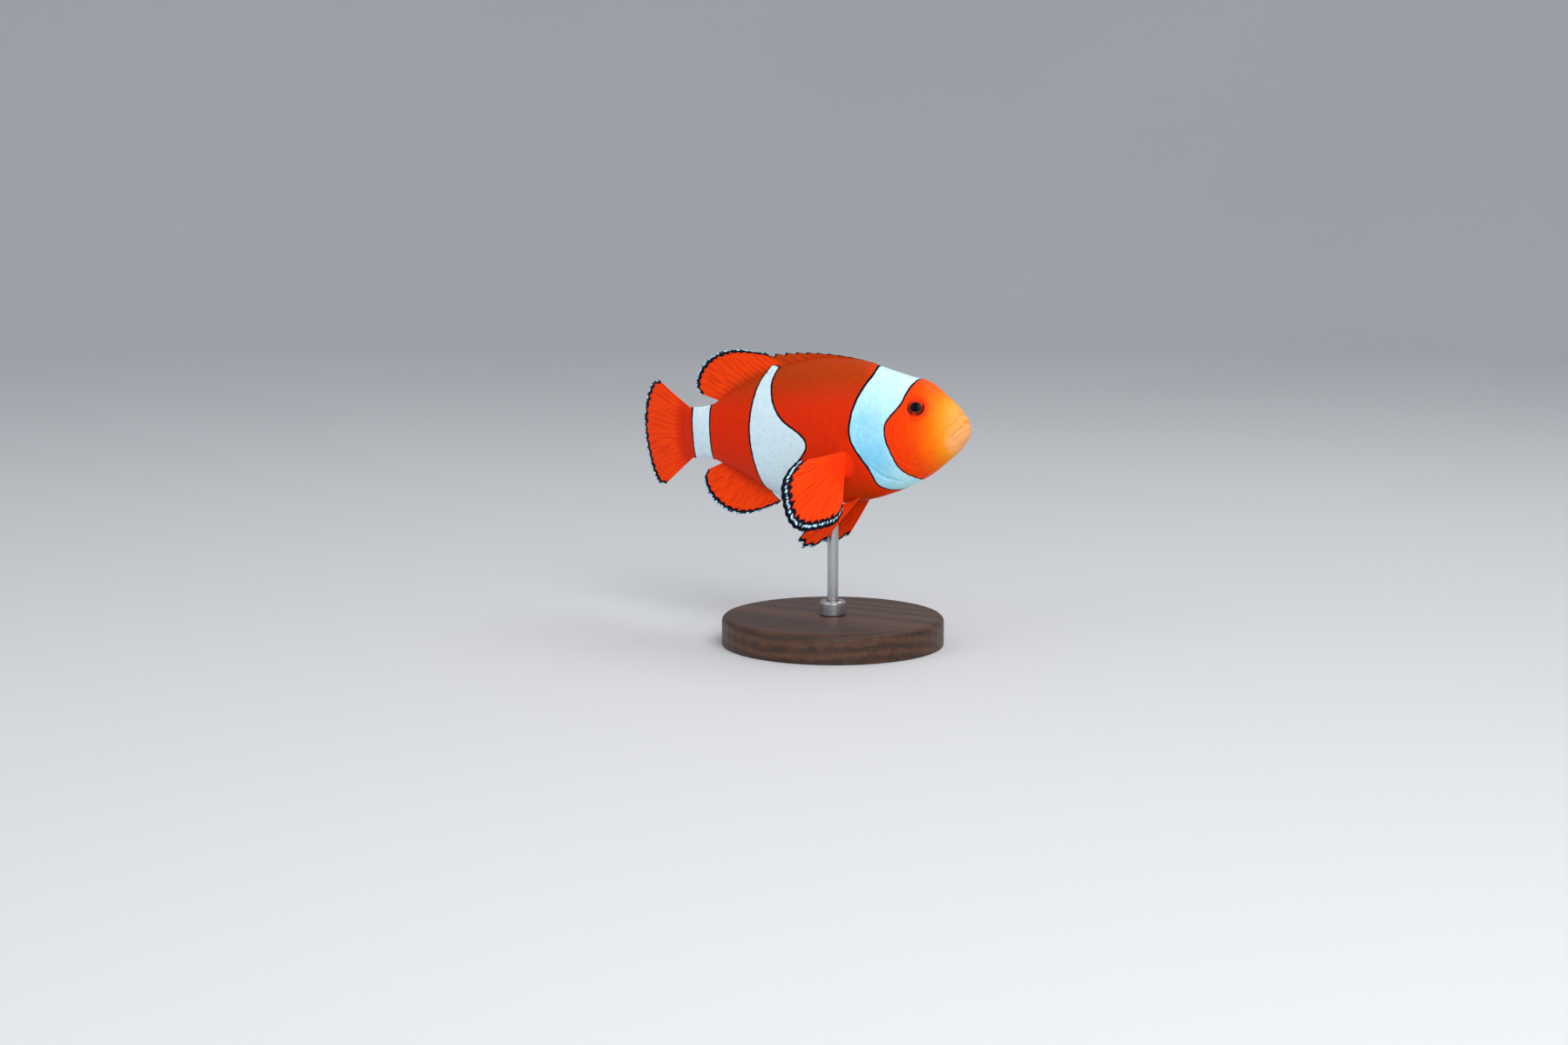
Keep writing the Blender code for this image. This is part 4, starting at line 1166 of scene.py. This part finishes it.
def brushed_steel():
    g = Graph("brushed steel", Metallic=1.0)
    place = g.add("TexCoord", {}, "Object")
    brushing = g.noise(g.stretched(place, 150.0, 150.0, 6000.0), 2.0, 2.0)
    colour = g.mix(brushing, srgb(168, 169, 172), srgb(196, 197, 200))
    return g.finish(colour, g.ramp(brushing, 0.3, 0.7, 0.24, 0.40), g.bump(brushing, 0.00001, 0.4))


def dress_stand():
    wood, steel = stained_wood(), brushed_steel()
    for node, material in (("stand_base", wood), ("stand_collar", steel), ("stand_rod", steel)):
        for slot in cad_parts[node].material_slots:
            slot.material = material


# ------------------------ studio

VIEW_AZIMUTH, VIEW_ELEVATION, VIEW_DISTANCE = 28.0, 5.0, 0.45
EYE_IN_VIEW = (0.0607, 0.0525)  # the right eye, as tangents right of the view's axis and above it
LENS, SENSOR = 50.0, 36.0


def look(position, forward):
    """A matrix whose camera looks along forward, upright."""
    return Matrix.Translation(position) @ Vector(forward).to_track_quat("-Z", "Y").to_matrix().to_4x4()


def add_camera():
    low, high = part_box("eye_right")
    eye = (low + high) / 2
    forward = -way_out(VIEW_AZIMUTH, VIEW_ELEVATION)
    position = eye - forward * VIEW_DISTANCE
    for _ in range(6):
        right = forward.cross(Vector((0, 0, 1))).normalized()
        up = right.cross(forward)
        depth = (eye - position).dot(forward)
        aim = eye - right * EYE_IN_VIEW[0] * depth - up * EYE_IN_VIEW[1] * depth
        forward = (aim - position).normalized()
    data = bpy.data.cameras.new("camera")
    data.lens, data.sensor_width = LENS, SENSOR
    data.clip_start, data.clip_end = 0.01, 20
    camera = bpy.data.objects.new("camera", data)
    camera.matrix_world = look(position, forward)
    bpy.context.scene.collection.objects.link(camera)
    bpy.context.scene.camera = camera


def add_softbox(name, azimuth, elevation, distance, size, power, colour=(1, 1, 1)):
    """An area light that faces the fish, placed round it as the views are."""
    data = bpy.data.lights.new(name, "AREA")
    data.shape, data.size, data.energy, data.color = "DISK", size, power, colour
    way = way_out(azimuth, elevation)
    light = bpy.data.objects.new(name, data)
    light.matrix_world = look(Vector((0, 0, BODY_HEIGHT)) + way * distance, -way)
    bpy.context.scene.collection.objects.link(light)


def add_floor():
    """A round pale floor that curves up into a wall far behind, on every side."""
    flat, bend, wall, below, sides = 1.1, 0.8, 1.4, 0.0002, 96
    curve = np.linspace(0, math.pi / 2, 17)[1:]
    profile = [(0.3, 0.0), (0.7, 0.0), (flat, 0.0)]
    profile += [(flat + bend * math.sin(a), bend - bend * math.cos(a)) for a in curve]
    profile.append((flat + bend, wall))
    turn = 2 * math.pi * np.arange(sides) / sides
    rings = [[(r * math.cos(a), r * math.sin(a), z - below) for a in turn] for r, z in profile]
    faces = [*grid_faces(len(profile), sides, closed=True), range(sides - 1, -1, -1)]
    g = Graph("pale backdrop", Roughness=0.75, Specular_IOR_Level=0.2)
    mottle = g.noise(g.add("TexCoord", {}, "Object"), 3.0, 2.0)
    pale = g.finish(g.mix(mottle, srgb(205, 207, 209), srgb(211, 212, 214)))
    floor = add_mesh("floor", np.array(rings), faces, pale)


def light_studio():
    add_softbox("key", 50, 38, 0.55, 0.34, 1.72, (1.0, 0.985, 0.96))
    add_softbox("fill", -30, 22, 0.70, 0.50, 0.74, (0.95, 0.975, 1.0))
    add_softbox("top", 150, 62, 0.60, 0.40, 0.80)
    add_softbox("low", 30, 11, 0.80, 0.36, 0.78)
    world = bpy.data.worlds.new("studio")
    world.use_nodes = True
    background = world.node_tree.nodes["Background"].inputs
    background["Color"].default_value = (0.92, 0.95, 1.0, 1)
    background["Strength"].default_value = 0.70
    bpy.context.scene.world = world
    bpy.context.scene.view_settings.view_transform = "Standard"


# ------------------------ the whole


def main():
    add_camera()
    skin = fish_skin()
    make_skin(skin)
    make_body_scales(skin)
    membrane = fin_skin()
    for fin in FINS:
        make_fin(fin, membrane)
    for fin in FINS:
        if fin["node"] in SCALED_FINS:
            make_fin_scales(fin, skin)
    eye = eye_surface()
    for side, word in SIDES:
        make_eye(side, word, eye)
    dress_stand()
    add_floor()
    light_studio()


main()
